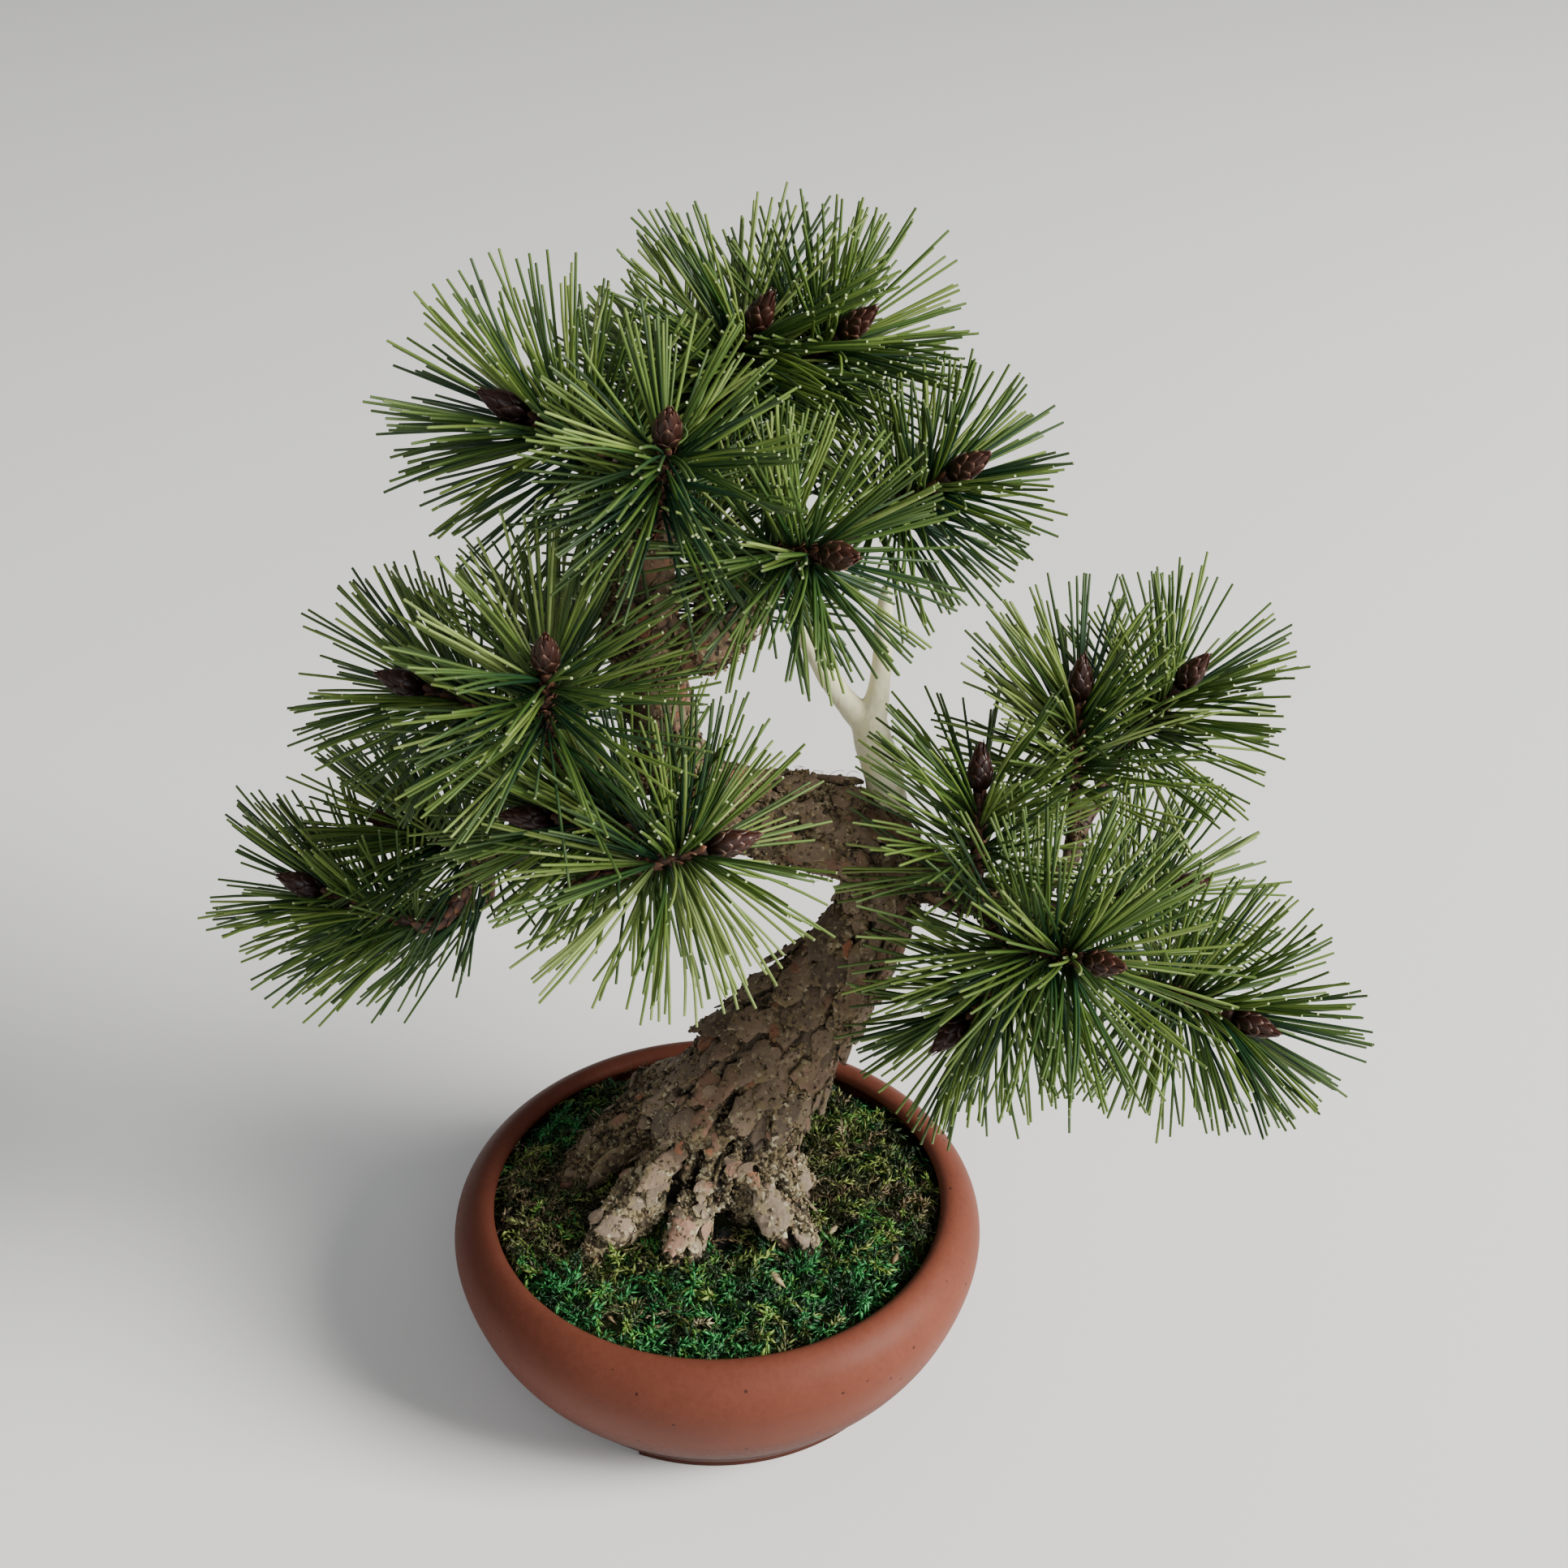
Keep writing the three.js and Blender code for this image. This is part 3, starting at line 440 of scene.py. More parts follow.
@dataclass(frozen=True)
class Route:
    """Even steps along a heart line, with a frame and a radius at each."""

    places: Array
    radii: Array

    @staticmethod
    def through(points: Sequence[Sequence[float]], spacing: float) -> Route:
        """A smooth route through points of place and radius.

        Args:
            points: (x, y, z, radius) points.
            spacing: The length of a step.

        Returns:
            The route, on a centripetal spline.
        """
        given = np.asarray(points, float)
        place = given[:, :3]
        ends = np.vstack([2 * place[0] - place[1], place, 2 * place[-1] - place[-2]])
        share = np.linspace(0, 1, 24, endpoint=False)[:, None]
        runs, widths = [], []
        for i in range(len(place) - 1):
            p0, p1, p2, p3 = ends[i : i + 4]
            gaps = [math.sqrt(np.linalg.norm(b - a)) for a, b in ((p0, p1), (p1, p2), (p2, p3))]
            t0, t1 = 0.0, gaps[0]
            t2 = t1 + gaps[1]
            t3 = t2 + gaps[2]
            t = t1 + (t2 - t1) * share
            a2 = passing(t, t1, t2, p1, p2)
            b1 = passing(t, t0, t2, passing(t, t0, t1, p0, p1), a2)
            b2 = passing(t, t1, t3, a2, passing(t, t2, t3, p2, p3))
            runs.append(passing(t, t1, t2, b1, b2))
            widths.append((given[i, 3] * (1 - share) + given[i + 1, 3] * share)[:, 0])
        dense = np.vstack([*runs, place[-1:]])
        width = np.concatenate([*widths, given[-1:, 3]])
        length = run_length(dense)
        steps = np.linspace(0, length[-1], max(4, round(length[-1] / spacing) + 1))
        return Route(between(steps, length, dense), np.interp(steps, length, width))

    @property
    def tangents(self) -> Array:
        """The direction of the line at each step."""
        return unit(np.gradient(self.places, axis=0))

    def frames(self) -> tuple[Array, Array, Array]:
        """Tangents with normals and binormals that don't twist along the line."""
        tangents = self.tangents
        side = np.cross(tangents[0], UP if abs(tangents[0][2]) < 0.9 else np.array([1.0, 0, 0]))
        normals = [unit(side)]
        for tangent in tangents[1:]:
            held = normals[-1] - tangent * np.dot(normals[-1], tangent)
            normals.append(unit(held))
        across = np.array(normals)
        return tangents, across, np.cross(tangents, across)

    def tube(self, sides: int) -> Shell:
        """A closed round tube along the route, with domed ends.

        Args:
            sides: How many sides it has.

        Returns:
            The tube.
        """
        tangents, normals, binormals = self.frames()
        turn = even_turns(sides)
        out = np.cos(turn)[:, None] * normals[:, None] + np.sin(turn)[:, None] * binormals[:, None]
        rings = self.places[:, None] + out * self.radii[:, None, None]
        ends = self.places[[0, -1]] + tangents[[0, -1]] * self.radii[[0, -1], None] * [[-0.6], [0.6]]
        count = len(self.places)
        points = np.concatenate([rings.reshape(-1, 3), ends])
        return Shell(points, ring_quads(count, sides), hub_caps(count, sides))


def ring_quads(rings: int, sides: int) -> Array:
    """Faces that join rings of points, each ring closed on itself."""
    i, j = np.meshgrid(np.arange(rings - 1), np.arange(sides), indexing="ij")
    here, onward = i * sides + j, i * sides + (j + 1) % sides
    return np.stack([here, onward, onward + sides, here + sides], axis=-1).reshape(-1, 4)


def hub_caps(rings: int, sides: int) -> Array:
    """Faces from the first and the last ring to a hub each, whose points follow those of the rings."""
    around = np.arange(sides)
    onward, last, hub = (around + 1) % sides, (rings - 1) * sides, np.full(sides, rings * sides)
    first = np.stack([hub, onward, around], axis=1)
    return np.concatenate([first, np.stack([hub + 1, last + around, last + onward], axis=1)])


def flat_caps(rings: int, sides: int) -> Array:
    """Faces that close the first and the last ring with flat fans."""
    fan = np.array([(0, k, k + 1) for k in range(1, sides - 1)])
    return np.concatenate([fan[:, ::-1], (rings - 1) * sides + fan])


def repeated(faces: Array, count: int, size: int) -> Array:
    """The faces of one body for several like it, whose points follow one another."""
    return (faces + (np.arange(count) * size)[:, None, None]).reshape(-1, faces.shape[1])


@dataclass(frozen=True)
class LatticeNoise:
    """Repeatable smooth noise in space, between -1 and 1."""

    seed: int
    primes: tuple[int, int, int] = (374761393, 668265263, 2147483647)
    stir: int = 1274126177
    most: int = 0xFFFFFFFF
    octave_shift: float = 17.3

    def _corner(self, cell: Array) -> Array:
        """The lattice's value at whole-number corners."""
        mixed = ((cell * self.primes).sum(-1) + self.seed * self.stir) & self.most
        mixed = ((mixed ^ (mixed >> 13)) * self.stir) & self.most
        return (mixed ^ (mixed >> 16)) / self.most * 2 - 1

    def _single(self, points: Array) -> Array:
        """One octave at points that are measured in waves."""
        base = np.floor(points).astype(np.int64)
        part = smoothstep(points - base)
        total = np.zeros(len(points))
        for corner in np.ndindex(2, 2, 2):
            weight = np.prod(np.where(np.array(corner) == 1, part, 1 - part), axis=1)
            total += weight * self._corner(base + np.array(corner))
        return total

    def at(self, points: Array, wave: float, octaves: int = 1) -> Array:
        """Noise at points.

        Args:
            points: The points.
            wave: The length of the longest wave.
            octaves: How many waves are summed, each half as long and half as high.

        Returns:
            One value for each point.
        """
        total, height, reach = np.zeros(len(points)), 1.0, 0.0
        for octave in range(octaves):
            shifted = points * (2**octave / wave) + self.octave_shift * octave
            total += height * self._single(shifted)
            reach += height
            height /= 2
        return total / reach


def read_values(source: object, key: str, width: int, kind: type) -> Array:
    """One value of every item of a mesh, in rows of its width."""
    values = np.zeros(len(source) * width, kind)
    source.foreach_get(key, values)
    return values.reshape(-1, width)


def remeshed(shell: Shell, voxel: float, smoothing: int) -> tuple[Shell, Array]:
    """Fuses the bodies of a shell into one skin of even small faces.

    Args:
        shell: Closed bodies that run into each other.
        voxel: The size of a face.
        smoothing: How often the skin is smoothed.

    Returns:
        The skin and its normals.
    """
    raw = shell.to_object("raw_wood", bpy.data.materials.new("raw_wood"))
    remesh = raw.modifiers.new("fuse", "REMESH")
    remesh.mode = "VOXEL"
    remesh.voxel_size = voxel
    smooth = raw.modifiers.new("soften", "SMOOTH")
    smooth.factor = 0.5
    smooth.iterations = smoothing
    made = raw.evaluated_get(bpy.context.evaluated_depsgraph_get()).to_mesh()
    points = read_values(made.vertices, "co", 3, np.float32).astype(float)
    normals = read_values(made.vertex_normals, "vector", 3, np.float32).astype(float)
    corners = read_values(made.loops, "vertex_index", 1, np.int32).astype(int)
    material, mesh = raw.data.materials[0], raw.data
    bpy.data.objects.remove(raw)
    bpy.data.meshes.remove(mesh)
    bpy.data.materials.remove(material)
    return Shell(points, corners.reshape(-1, 4)), normals


# ---- Shaders ----


class NodeSheet:
    """A node tree under construction, with short ways to add and join its nodes."""

    def __init__(self, tree: NodeTree) -> None:
        """Takes the tree that is built on."""
        self.tree = tree

    def add(self, kind: str, **settings: object) -> Node:
        """A new node with its settings.

        Args:
            kind: The node's type, without ShaderNode in front of it.
            settings: Its properties by name.

        Returns:
            The node.
        """
        node = self.tree.nodes.new("ShaderNode" + kind)
        for name, value in settings.items():
            setattr(node, name, value)
        return node

    def join(self, source: NodeSocket, target: NodeSocket) -> None:
        """Links one socket to another."""
        self.tree.links.new(source, target)

    def feed(self, target: NodeSocket, value: object) -> None:
        """Gives a socket a link or a constant."""
        if isinstance(value, NodeSocket):
            self.join(value, target)
        elif isinstance(value, tuple) and len(value) == 3 and target.type == "RGBA":
            target.default_value = (*value, 1.0)
        else:
            target.default_value = value

    def math(self, operation: str, *values: object, clamp: bool = False) -> NodeSocket:
        """A sum of two or three values."""
        node = self.add("Math", operation=operation, use_clamp=clamp)
        for socket, value in zip(node.inputs, values):
            self.feed(socket, value)
        return node.outputs[0]

    def times(self, first: object, second: object) -> NodeSocket:
        """One value times another."""
        return self.math("MULTIPLY", first, second)

    def mix(self, share: object, first: object, second: object, blend: str = "MIX") -> NodeSocket:
        """One colour mixed into another by a share."""
        node = self.add("Mix", data_type="RGBA", blend_type=blend)
        for index, value in ((0, share), (6, first), (7, second)):
            self.feed(node.inputs[index], value)
        return node.outputs[2]

    def ramp(self, value: NodeSocket, stops: Sequence[tuple[float, Rgb]]) -> NodeSocket:
        """A colour that follows a value through stops."""
        node = self.add("ValToRGB")
        elements = node.color_ramp.elements
        while len(elements) < len(stops):
            elements.new(0.5)
        for element, (place, colour) in zip(elements, stops):
            element.position = place
            element.color = (*colour, 1.0)
        self.join(value, node.inputs[0])
        return node.outputs[0]

    def span(self, value: object, low: float, high: float) -> NodeSocket:
        """A value stretched so that low becomes 0 and high becomes 1."""
        node = self.add("MapRange", clamp=True)
        self.feed(node.inputs[0], value)
        node.inputs[1].default_value = low
        node.inputs[2].default_value = high
        return node.outputs[0]

    def value_of(self, name: str) -> NodeSocket:
        """A value that the mesh holds at each point."""
        return self.add("Attribute", attribute_name=name).outputs["Fac"]

    def place(self) -> NodeSocket:
        """The point of the surface, in metres."""
        return self.add("TexCoord").outputs["Object"]

    def axes(self) -> tuple[NodeSocket, NodeSocket, NodeSocket]:
        """The three coordinates of the point of the surface."""
        split = self.add("SeparateXYZ")
        self.join(self.place(), split.inputs[0])
        return tuple(split.outputs)

    def cells(self, scale: object) -> tuple[NodeSocket, NodeSocket]:
        """Random cells: the distance to a cell's middle, and a value from 0 to 1 for each cell."""
        cells = self.add("TexVoronoi")
        self.join(self.place(), cells.inputs["Vector"])
        self.join(scale, cells.inputs["Scale"])
        split = self.add("SeparateColor")
        self.join(cells.outputs["Color"], split.inputs[0])
        return cells.outputs["Distance"], split.outputs[0]

    def noise(self, scale: object, detail: float = 4.0, where: object = None) -> NodeSocket:
        """Smooth noise between 0 and 1."""
        node = self.add("TexNoise")
        self.join(where or self.place(), node.inputs["Vector"])
        self.feed(node.inputs["Scale"], scale)
        node.inputs["Detail"].default_value = detail
        return node.outputs["Fac"]

    def group(self, tree: NodeTree, **values: object) -> Node:
        """A shared effect with its own values."""
        node = self.add("Group")
        node.node_tree = tree
        for name, value in values.items():
            self.feed(node.inputs[name.capitalize()], value)
        return node

    def mask(self, tree: NodeTree, **values: object) -> NodeSocket:
        """The first output of a shared effect with its own values."""
        return self.group(tree, **values).outputs[0]


class SharedEffect:
    """A shader group that is built once and placed in several materials."""

    def __init__(self, name: str, inputs: dict[str, float], outputs: Sequence[str]) -> None:
        """Makes the group with its sockets.

        Args:
            name: The group's name.
            inputs: Names and first values of its number inputs.
            outputs: Names of its value outputs.
        """
        self.tree = bpy.data.node_groups.new(name, "ShaderNodeTree")
        for label, value in inputs.items():
            made = self.tree.interface.new_socket(label, in_out="INPUT", socket_type="NodeSocketFloat")
            made.default_value = value
        for label in outputs:
            self.tree.interface.new_socket(label, in_out="OUTPUT", socket_type="NodeSocketFloat")
        self.sheet = NodeSheet(self.tree)
        self.inputs = self.tree.nodes.new("NodeGroupInput").outputs
        self.outputs = self.tree.nodes.new("NodeGroupOutput").inputs


class Effects:
    """The effects that several finishes share."""

    def __init__(self) -> None:
        """Builds each effect once."""
        self.mottle = self._mottle()
        self.specks = self._specks()
        self.fibre = self._fibre()
        self.granules = self._granules()

    @staticmethod
    def _mottle() -> NodeTree:
        """Soft uneven patches: a broad wave with a finer one in it."""
        effect = SharedEffect("mottle", {"Scale": 30.0, "Contrast": 1.0}, ["Mask"])
        sheet = effect.sheet
        broad = sheet.noise(effect.inputs["Scale"], 5.0)
        fine = sheet.noise(sheet.times(effect.inputs["Scale"], 6.0), 3.0)
        both = sheet.math("MULTIPLY_ADD", fine, 0.35, sheet.times(broad, 0.65))
        centred = sheet.math("SUBTRACT", both, 0.5)
        raised = sheet.times(centred, sheet.times(effect.inputs["Contrast"], 3.0))
        sheet.join(sheet.math("ADD", raised, 0.5, clamp=True), effect.outputs["Mask"])
        return effect.tree

    @staticmethod
    def _specks() -> NodeTree:
        """Small scattered dots, each in a cell of its own."""
        effect = SharedEffect("specks", {"Scale": 400.0, "Size": 0.2, "Share": 0.3}, ["Mask"])
        sheet = effect.sheet
        distance, luck = sheet.cells(effect.inputs["Scale"])
        near = sheet.math("LESS_THAN", distance, effect.inputs["Size"])
        chosen = sheet.math("LESS_THAN", luck, effect.inputs["Share"])
        sheet.join(sheet.times(near, chosen), effect.outputs["Mask"])
        return effect.tree

    @staticmethod
    def _granules() -> NodeTree:
        """Small grains side by side: a shade for each grain and a height that falls to its rim."""
        effect = SharedEffect("granules", {"Scale": 600.0}, ["Shade", "Height"])
        sheet = effect.sheet
        distance, luck = sheet.cells(effect.inputs["Scale"])
        sheet.join(luck, effect.outputs["Shade"])
        sheet.join(sheet.math("SUBTRACT", 1.0, distance), effect.outputs["Height"])
        return effect.tree

    @staticmethod
    def _fibre() -> NodeTree:
        """Fine grain that is drawn out along +Z."""
        effect = SharedEffect("fibre", {"Scale": 500.0, "Stretch": 0.2}, ["Height"])
        sheet = effect.sheet
        x, y, z = sheet.axes()
        drawn = sheet.add("CombineXYZ")
        for source, target in zip((x, y, sheet.times(z, effect.inputs["Stretch"])), drawn.inputs):
            sheet.join(source, target)
        sheet.join(sheet.noise(effect.inputs["Scale"], 6.0, drawn.outputs[0]), effect.outputs["Height"])
        return effect.tree


class Finish:
    """What every finish shares: a material with one surface shader."""

    @staticmethod
    def begin(name: str, roughness: float, specular: float = 0.5) -> tuple[Material, NodeSheet, object]:
        """A fresh material.

        Args:
            name: The material's name.
            roughness: The shader's roughness, all over.
            specular: Its specular level, all over.

        Returns:
            The material, its sheet of nodes and its surface shader.
        """
        material = bpy.data.materials.new(name)
        material.use_nodes = True
        shader = material.node_tree.nodes["Principled BSDF"]
        shader.inputs["Roughness"].default_value = roughness
        shader.inputs["Specular IOR Level"].default_value = specular
        return material, NodeSheet(material.node_tree), shader

    @staticmethod
    def bump(sheet: NodeSheet, shader: object, height: object, strength: float, distance: float) -> None:
        """Raises the surface by a height.

        Args:
            sheet: The material's nodes.
            shader: The material's shader.
            height: The socket that gives the height, from 0 to 1.
            strength: How much of it shows.
            distance: What a height of 1 is, in metres.
        """
        node = sheet.add("Bump")
        node.inputs["Strength"].default_value = strength
        node.inputs["Distance"].default_value = distance
        sheet.join(height, node.inputs["Height"])
        sheet.join(node.outputs[0], shader.inputs["Normal"])


@dataclass(frozen=True)
class ClayFinish(Finish):
    """Satin red clay with small pits and darker fire flushes, and painted shade at its left, front and
    foot.
    """

    body: Rgb = (0.160, 0.047, 0.028)
    flush: Rgb = (0.125, 0.036, 0.021)
    pale: Rgb = (0.23, 0.076, 0.046)
    pit: Rgb = (0.03, 0.012, 0.01)
    # Painted shade, multiplied in at the foot, the left side and the front of the pot.
    painted_shade_tint: Rgb = (0.36, 0.31, 0.29)

    def build(self, effects: Effects) -> Material:
        """The clay material."""
        material, sheet, shader = self.begin("red_clay", 0.42, 0.11)
        flushes = sheet.mask(effects.mottle, scale=16.0, contrast=0.9)
        grain = sheet.mask(effects.mottle, scale=420.0, contrast=0.8)
        pits = sheet.mask(effects.specks, scale=240.0, size=0.16, share=0.1)
        colour = sheet.mix(flushes, self.flush, self.body)
        colour = sheet.mix(sheet.times(grain, 0.3), colour, self.pale)
        colour = sheet.mix(sheet.times(pits, 0.75), colour, self.pit)
        # Painted shade: darker towards the foot, the left and the front, away from the light.
        x, y, z = sheet.axes()
        low = sheet.span(z, 0.040, 0.016)
        side = sheet.times(sheet.span(x, 0.01, -0.09), 0.48)
        front = sheet.times(sheet.span(y, -0.06, -0.098), 0.3)
        shade = sheet.math("MAXIMUM", low, sheet.math("MAXIMUM", side, front))
        colour = sheet.mix(shade, colour, self.painted_shade_tint, "MULTIPLY")
        sheet.join(colour, shader.inputs["Base Color"])
        rough = sheet.math("MULTIPLY_ADD", grain, 0.14, 0.44)
        sheet.join(rough, shader.inputs["Roughness"])
        height = sheet.math("SUBTRACT", sheet.times(grain, 0.5), pits)
        self.bump(sheet, shader, height, 0.35, 0.0003)
        return material


@dataclass(frozen=True)
class SoilFinish(Finish):
    """Dark damp potting soil."""

    dark: Rgb = (0.008, 0.006, 0.004)
    light: Rgb = (0.05, 0.034, 0.022)

    def build(self, effects: Effects) -> Material:
        """The soil material."""
        material, sheet, shader = self.begin("dark_soil", 0.95, 0.2)
        crumbs = sheet.mask(effects.mottle, scale=260.0, contrast=1.4)
        sheet.join(sheet.mix(crumbs, self.dark, self.light), shader.inputs["Base Color"])
        self.bump(sheet, shader, crumbs, 0.8, 0.0012)
        return material


@dataclass(frozen=True)
class MossFinish(Finish):
    """Dyed curly moss: emerald and bright green at the front, olive and brown elsewhere, and straw."""

    shade: Rgb = (0.006, 0.009, 0.004)
    emerald: Rgb = (0.045, 0.33, 0.085)
    green: Rgb = (0.12, 0.42, 0.060)
    lime: Rgb = (0.42, 0.54, 0.11)
    olive: Rgb = (0.29, 0.31, 0.11)
    brown: Rgb = (0.26, 0.17, 0.085)
    straw: Rgb = (0.66, 0.56, 0.32)

    def build(self, effects: Effects) -> Material:
        """The moss material, which follows the tone of each sprig and its depth, painted shade deep in the
        mat.
        """
        material, sheet, shader = self.begin("curly_moss", 0.5, 0.5)
        front = [(0.0, self.emerald), (0.22, self.emerald), (0.36, self.green), (0.52, self.lime)]
        stops = [*front, (0.68, self.olive), (0.84, self.brown), (0.93, self.brown), (1.0, self.straw)]
        colour = sheet.ramp(sheet.value_of("tone"), stops)
        patch = sheet.mask(effects.mottle, scale=300.0, contrast=1.2)
        colour = sheet.mix(sheet.times(patch, 0.35), colour, self.shade)
        # Painted shade: the depth value darkens the sprigs' feet, the mound and the pit; some sprigs are
        # darker at random.
        colour = sheet.mix(sheet.value_of("depth"), colour, self.shade)
        sheet.join(colour, shader.inputs["Base Color"])
        return material


@dataclass(frozen=True)
class BarkFinish(Finish):
    """Pine bark: grey-brown plates, pink where they broke, between dark and pale crumbs of cork."""

    dull: Rgb = (0.100, 0.077, 0.056)
    plate: Rgb = (0.375, 0.285, 0.205)
    pink: Rgb = (0.46, 0.265, 0.180)
    rust: Rgb = (0.50, 0.190, 0.090)
    crumb_dark: Rgb = (0.075, 0.055, 0.034)
    crumb: Rgb = (0.32, 0.255, 0.140)
    crumb_pale: Rgb = (0.58, 0.53, 0.36)
    # Painted shade in the cracks, the slits, the hollow and under the plates.
    painted_crevice_shade: Rgb = (0.010, 0.007, 0.005)
    shaded: Rgb = (0.47, 0.42, 0.37)

    def build(self, effects: Effects) -> Material:
        """The bark material, which follows the plates, crumbs and cracks of the mesh."""
        material, sheet, shader = self.begin("pine_bark", 0.8, 0.3)
        whole = [(0.0, self.dull), (0.3, self.plate), (0.58, self.plate)]
        stops = [*whole, (0.74, self.pink), (0.9, self.pink), (1.0, self.rust)]
        colour = sheet.ramp(sheet.value_of("tone"), stops)
        patches = sheet.mask(effects.mottle, scale=120.0, contrast=1.5)
        colour = sheet.mix(sheet.times(patches, 0.48), colour, self.dull)
        grains = sheet.group(effects.granules, scale=620.0)
        dark = [(0.0, self.crumb_dark), (0.2, self.crumb_dark)]
        light = [(0.48, self.crumb), (0.8, self.crumb), (0.95, self.crumb_pale)]
        crumbs = sheet.ramp(grains.outputs[0], dark + light)
        worn = sheet.mask(effects.mottle, scale=420.0, contrast=1.6)
        cover = sheet.math("MULTIPLY_ADD", worn, 0.7, sheet.value_of("grit"))
        colour = sheet.mix(sheet.span(cover, 0.45, 0.75), colour, crumbs)
        x, y, z = sheet.axes()
        high = sheet.span(z, 0.074, 0.125)
        behind = sheet.times(sheet.span(y, -0.020, -0.006), 0.9)
        behind = sheet.times(sheet.span(x, -0.012, -0.028), behind)
        flecks = sheet.mask(effects.specks, scale=430.0, size=0.22, share=0.14)
        colour = sheet.mix(sheet.times(flecks, 0.45), colour, self.crumb_pale)
        colour = sheet.mix(sheet.math("MAXIMUM", high, behind), colour, self.shaded, "MULTIPLY")
        # Painted shade in the cracks, the slits, the hollow and under the plates.
        colour = sheet.mix(sheet.value_of("gap"), colour, self.painted_crevice_shade)
        sheet.join(colour, shader.inputs["Base Color"])
        grain = sheet.mask(effects.fibre, scale=700.0, stretch=0.35)
        raised = sheet.times(grains.outputs[1], sheet.value_of("grit"))
        self.bump(sheet, shader, sheet.math("ADD", grain, raised), 0.8, 0.0006)
        return material


@dataclass(frozen=True)
class ShootFinish(Finish):
    """Twigs and shoots: brown with paler orange tips on their old scales."""

    foot: Rgb = (0.045, 0.020, 0.013)
    tip: Rgb = (0.25, 0.095, 0.038)

    def build(self, effects: Effects) -> Material:
        """The shoot material, which follows the length of each scale."""
        material, sheet, shader = self.begin("scaly_shoot", 0.6, 0.4)
        worn = sheet.mask(effects.mottle, scale=400.0, contrast=1.2)
        reach = sheet.times(sheet.math("POWER", sheet.value_of("along"), 2.0), worn)
        sheet.join(sheet.mix(reach, self.foot, self.tip), shader.inputs["Base Color"])
        return material


@dataclass(frozen=True)
class BudFinish(Finish):
    """Glossy maroon bud scales, redder and paler towards the point of the bud."""

    dark: Rgb = (0.013, 0.0042, 0.0030)
    red: Rgb = (0.042, 0.0115, 0.0070)
    rim: Rgb = (0.17, 0.075, 0.040)

    def build(self, effects: Effects) -> Material:
        """The bud material, which follows the scales and the height on the bud."""
        material, sheet, shader = self.begin("bud_scale", 0.38, 0.25)
        height = sheet.math("POWER", sheet.value_of("height"), 1.6)
        colour = sheet.mix(height, self.dark, self.red)
        patches = sheet.mask(effects.mottle, scale=330.0, contrast=1.3)
        rim = sheet.times(sheet.math("POWER", sheet.value_of("along"), 9.0), patches)
        sheet.join(sheet.mix(rim, colour, self.rim), shader.inputs["Base Color"])
        shader.inputs["Coat Weight"].default_value = 0.16
        shader.inputs["Coat Roughness"].default_value = 0.16
        return material


@dataclass(frozen=True)
class NeedleFinish(Finish):
    """Pine needles from dark blue-green to yellow-green, with pale cut ends."""

    deep: Rgb = (0.005, 0.028, 0.014)
    dark: Rgb = (0.014, 0.046, 0.007)
    middle: Rgb = (0.050, 0.098, 0.015)
    light: Rgb = (0.132, 0.203, 0.033)
    pale: Rgb = (0.220, 0.290, 0.080)
    cut: Rgb = (0.27, 0.32, 0.15)

    def build(self, effects: Effects) -> Material:
        """The needle material, which follows the tone and the length of each needle."""
        material, sheet, shader = self.begin("pine_needle", 0.46, 0.26)
        dim = [(0.0, self.deep), (0.2, self.dark), (0.5, self.middle)]
        stops = [*dim, (0.8, self.light), (1.0, self.pale)]
        colour = sheet.ramp(sheet.value_of("tone"), stops)
        streaks = sheet.mask(effects.mottle, scale=120.0, contrast=1.0)
        colour = sheet.mix(sheet.times(streaks, 0.3), colour, self.dark)
        lit = sheet.times(sheet.math("POWER", sheet.value_of("along"), 3.0), 0.22)
        colour = sheet.mix(lit, colour, self.pale)
        # Painted shade: darker towards the foot of each needle, deep in the spray.
        inner = sheet.times(sheet.span(sheet.value_of("along"), 0.42, 0.0), 0.72)
        colour = sheet.mix(inner, colour, self.deep)
        sheet.join(sheet.mix(sheet.value_of("cut"), colour, self.cut), shader.inputs["Base Color"])
        return material


@dataclass(frozen=True)
class BleachedFinish(Finish):
    """Bare wood bleached to cream, with faint long grain."""

    cream: Rgb = (0.86, 0.79, 0.44)
    white: Rgb = (0.91, 0.87, 0.64)
    grey: Rgb = (0.52, 0.45, 0.29)

    def build(self, effects: Effects) -> Material:
        """The deadwood material."""
        material, sheet, shader = self.begin("bleached_wood", 0.5, 0.45)
        patches = sheet.mask(effects.mottle, scale=60.0, contrast=1.0)
        grain = sheet.mask(effects.fibre, scale=900.0, stretch=0.12)
        colour = sheet.mix(patches, self.cream, self.white)
        lines = sheet.times(sheet.span(grain, 0.5, 0.8), 0.45)
        sheet.join(sheet.mix(lines, colour, self.grey), shader.inputs["Base Color"])
        self.bump(sheet, shader, grain, 0.3, 0.0004)
        return material


@dataclass(frozen=True)
class FloorFinish(Finish):
    """A plain pale studio floor."""

    colour: Rgb = (0.86, 0.85, 0.83)

    def build(self, effects: Effects) -> Material:
        """The floor material."""
        material, sheet, shader = self.begin("pale_floor", 0.85, 0.2)
        cloud = sheet.mask(effects.mottle, scale=2.0, contrast=0.2)
        shaded = tuple(0.97 * c for c in self.colour)
        sheet.join(sheet.mix(cloud, shaded, self.colour), shader.inputs["Base Color"])
        return material


# ---- Pieces ----


def settle(piece: Object, node: str) -> None:
    """Makes a piece ride on the part, in place of the node that it stands for.

    Args:
        piece: The finished piece.
        node: The node that it replaces.
    """
    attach(piece, BODY)
    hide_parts(node)
    LOG.info("%s: %d faces", piece.name, len(piece.data.polygons))


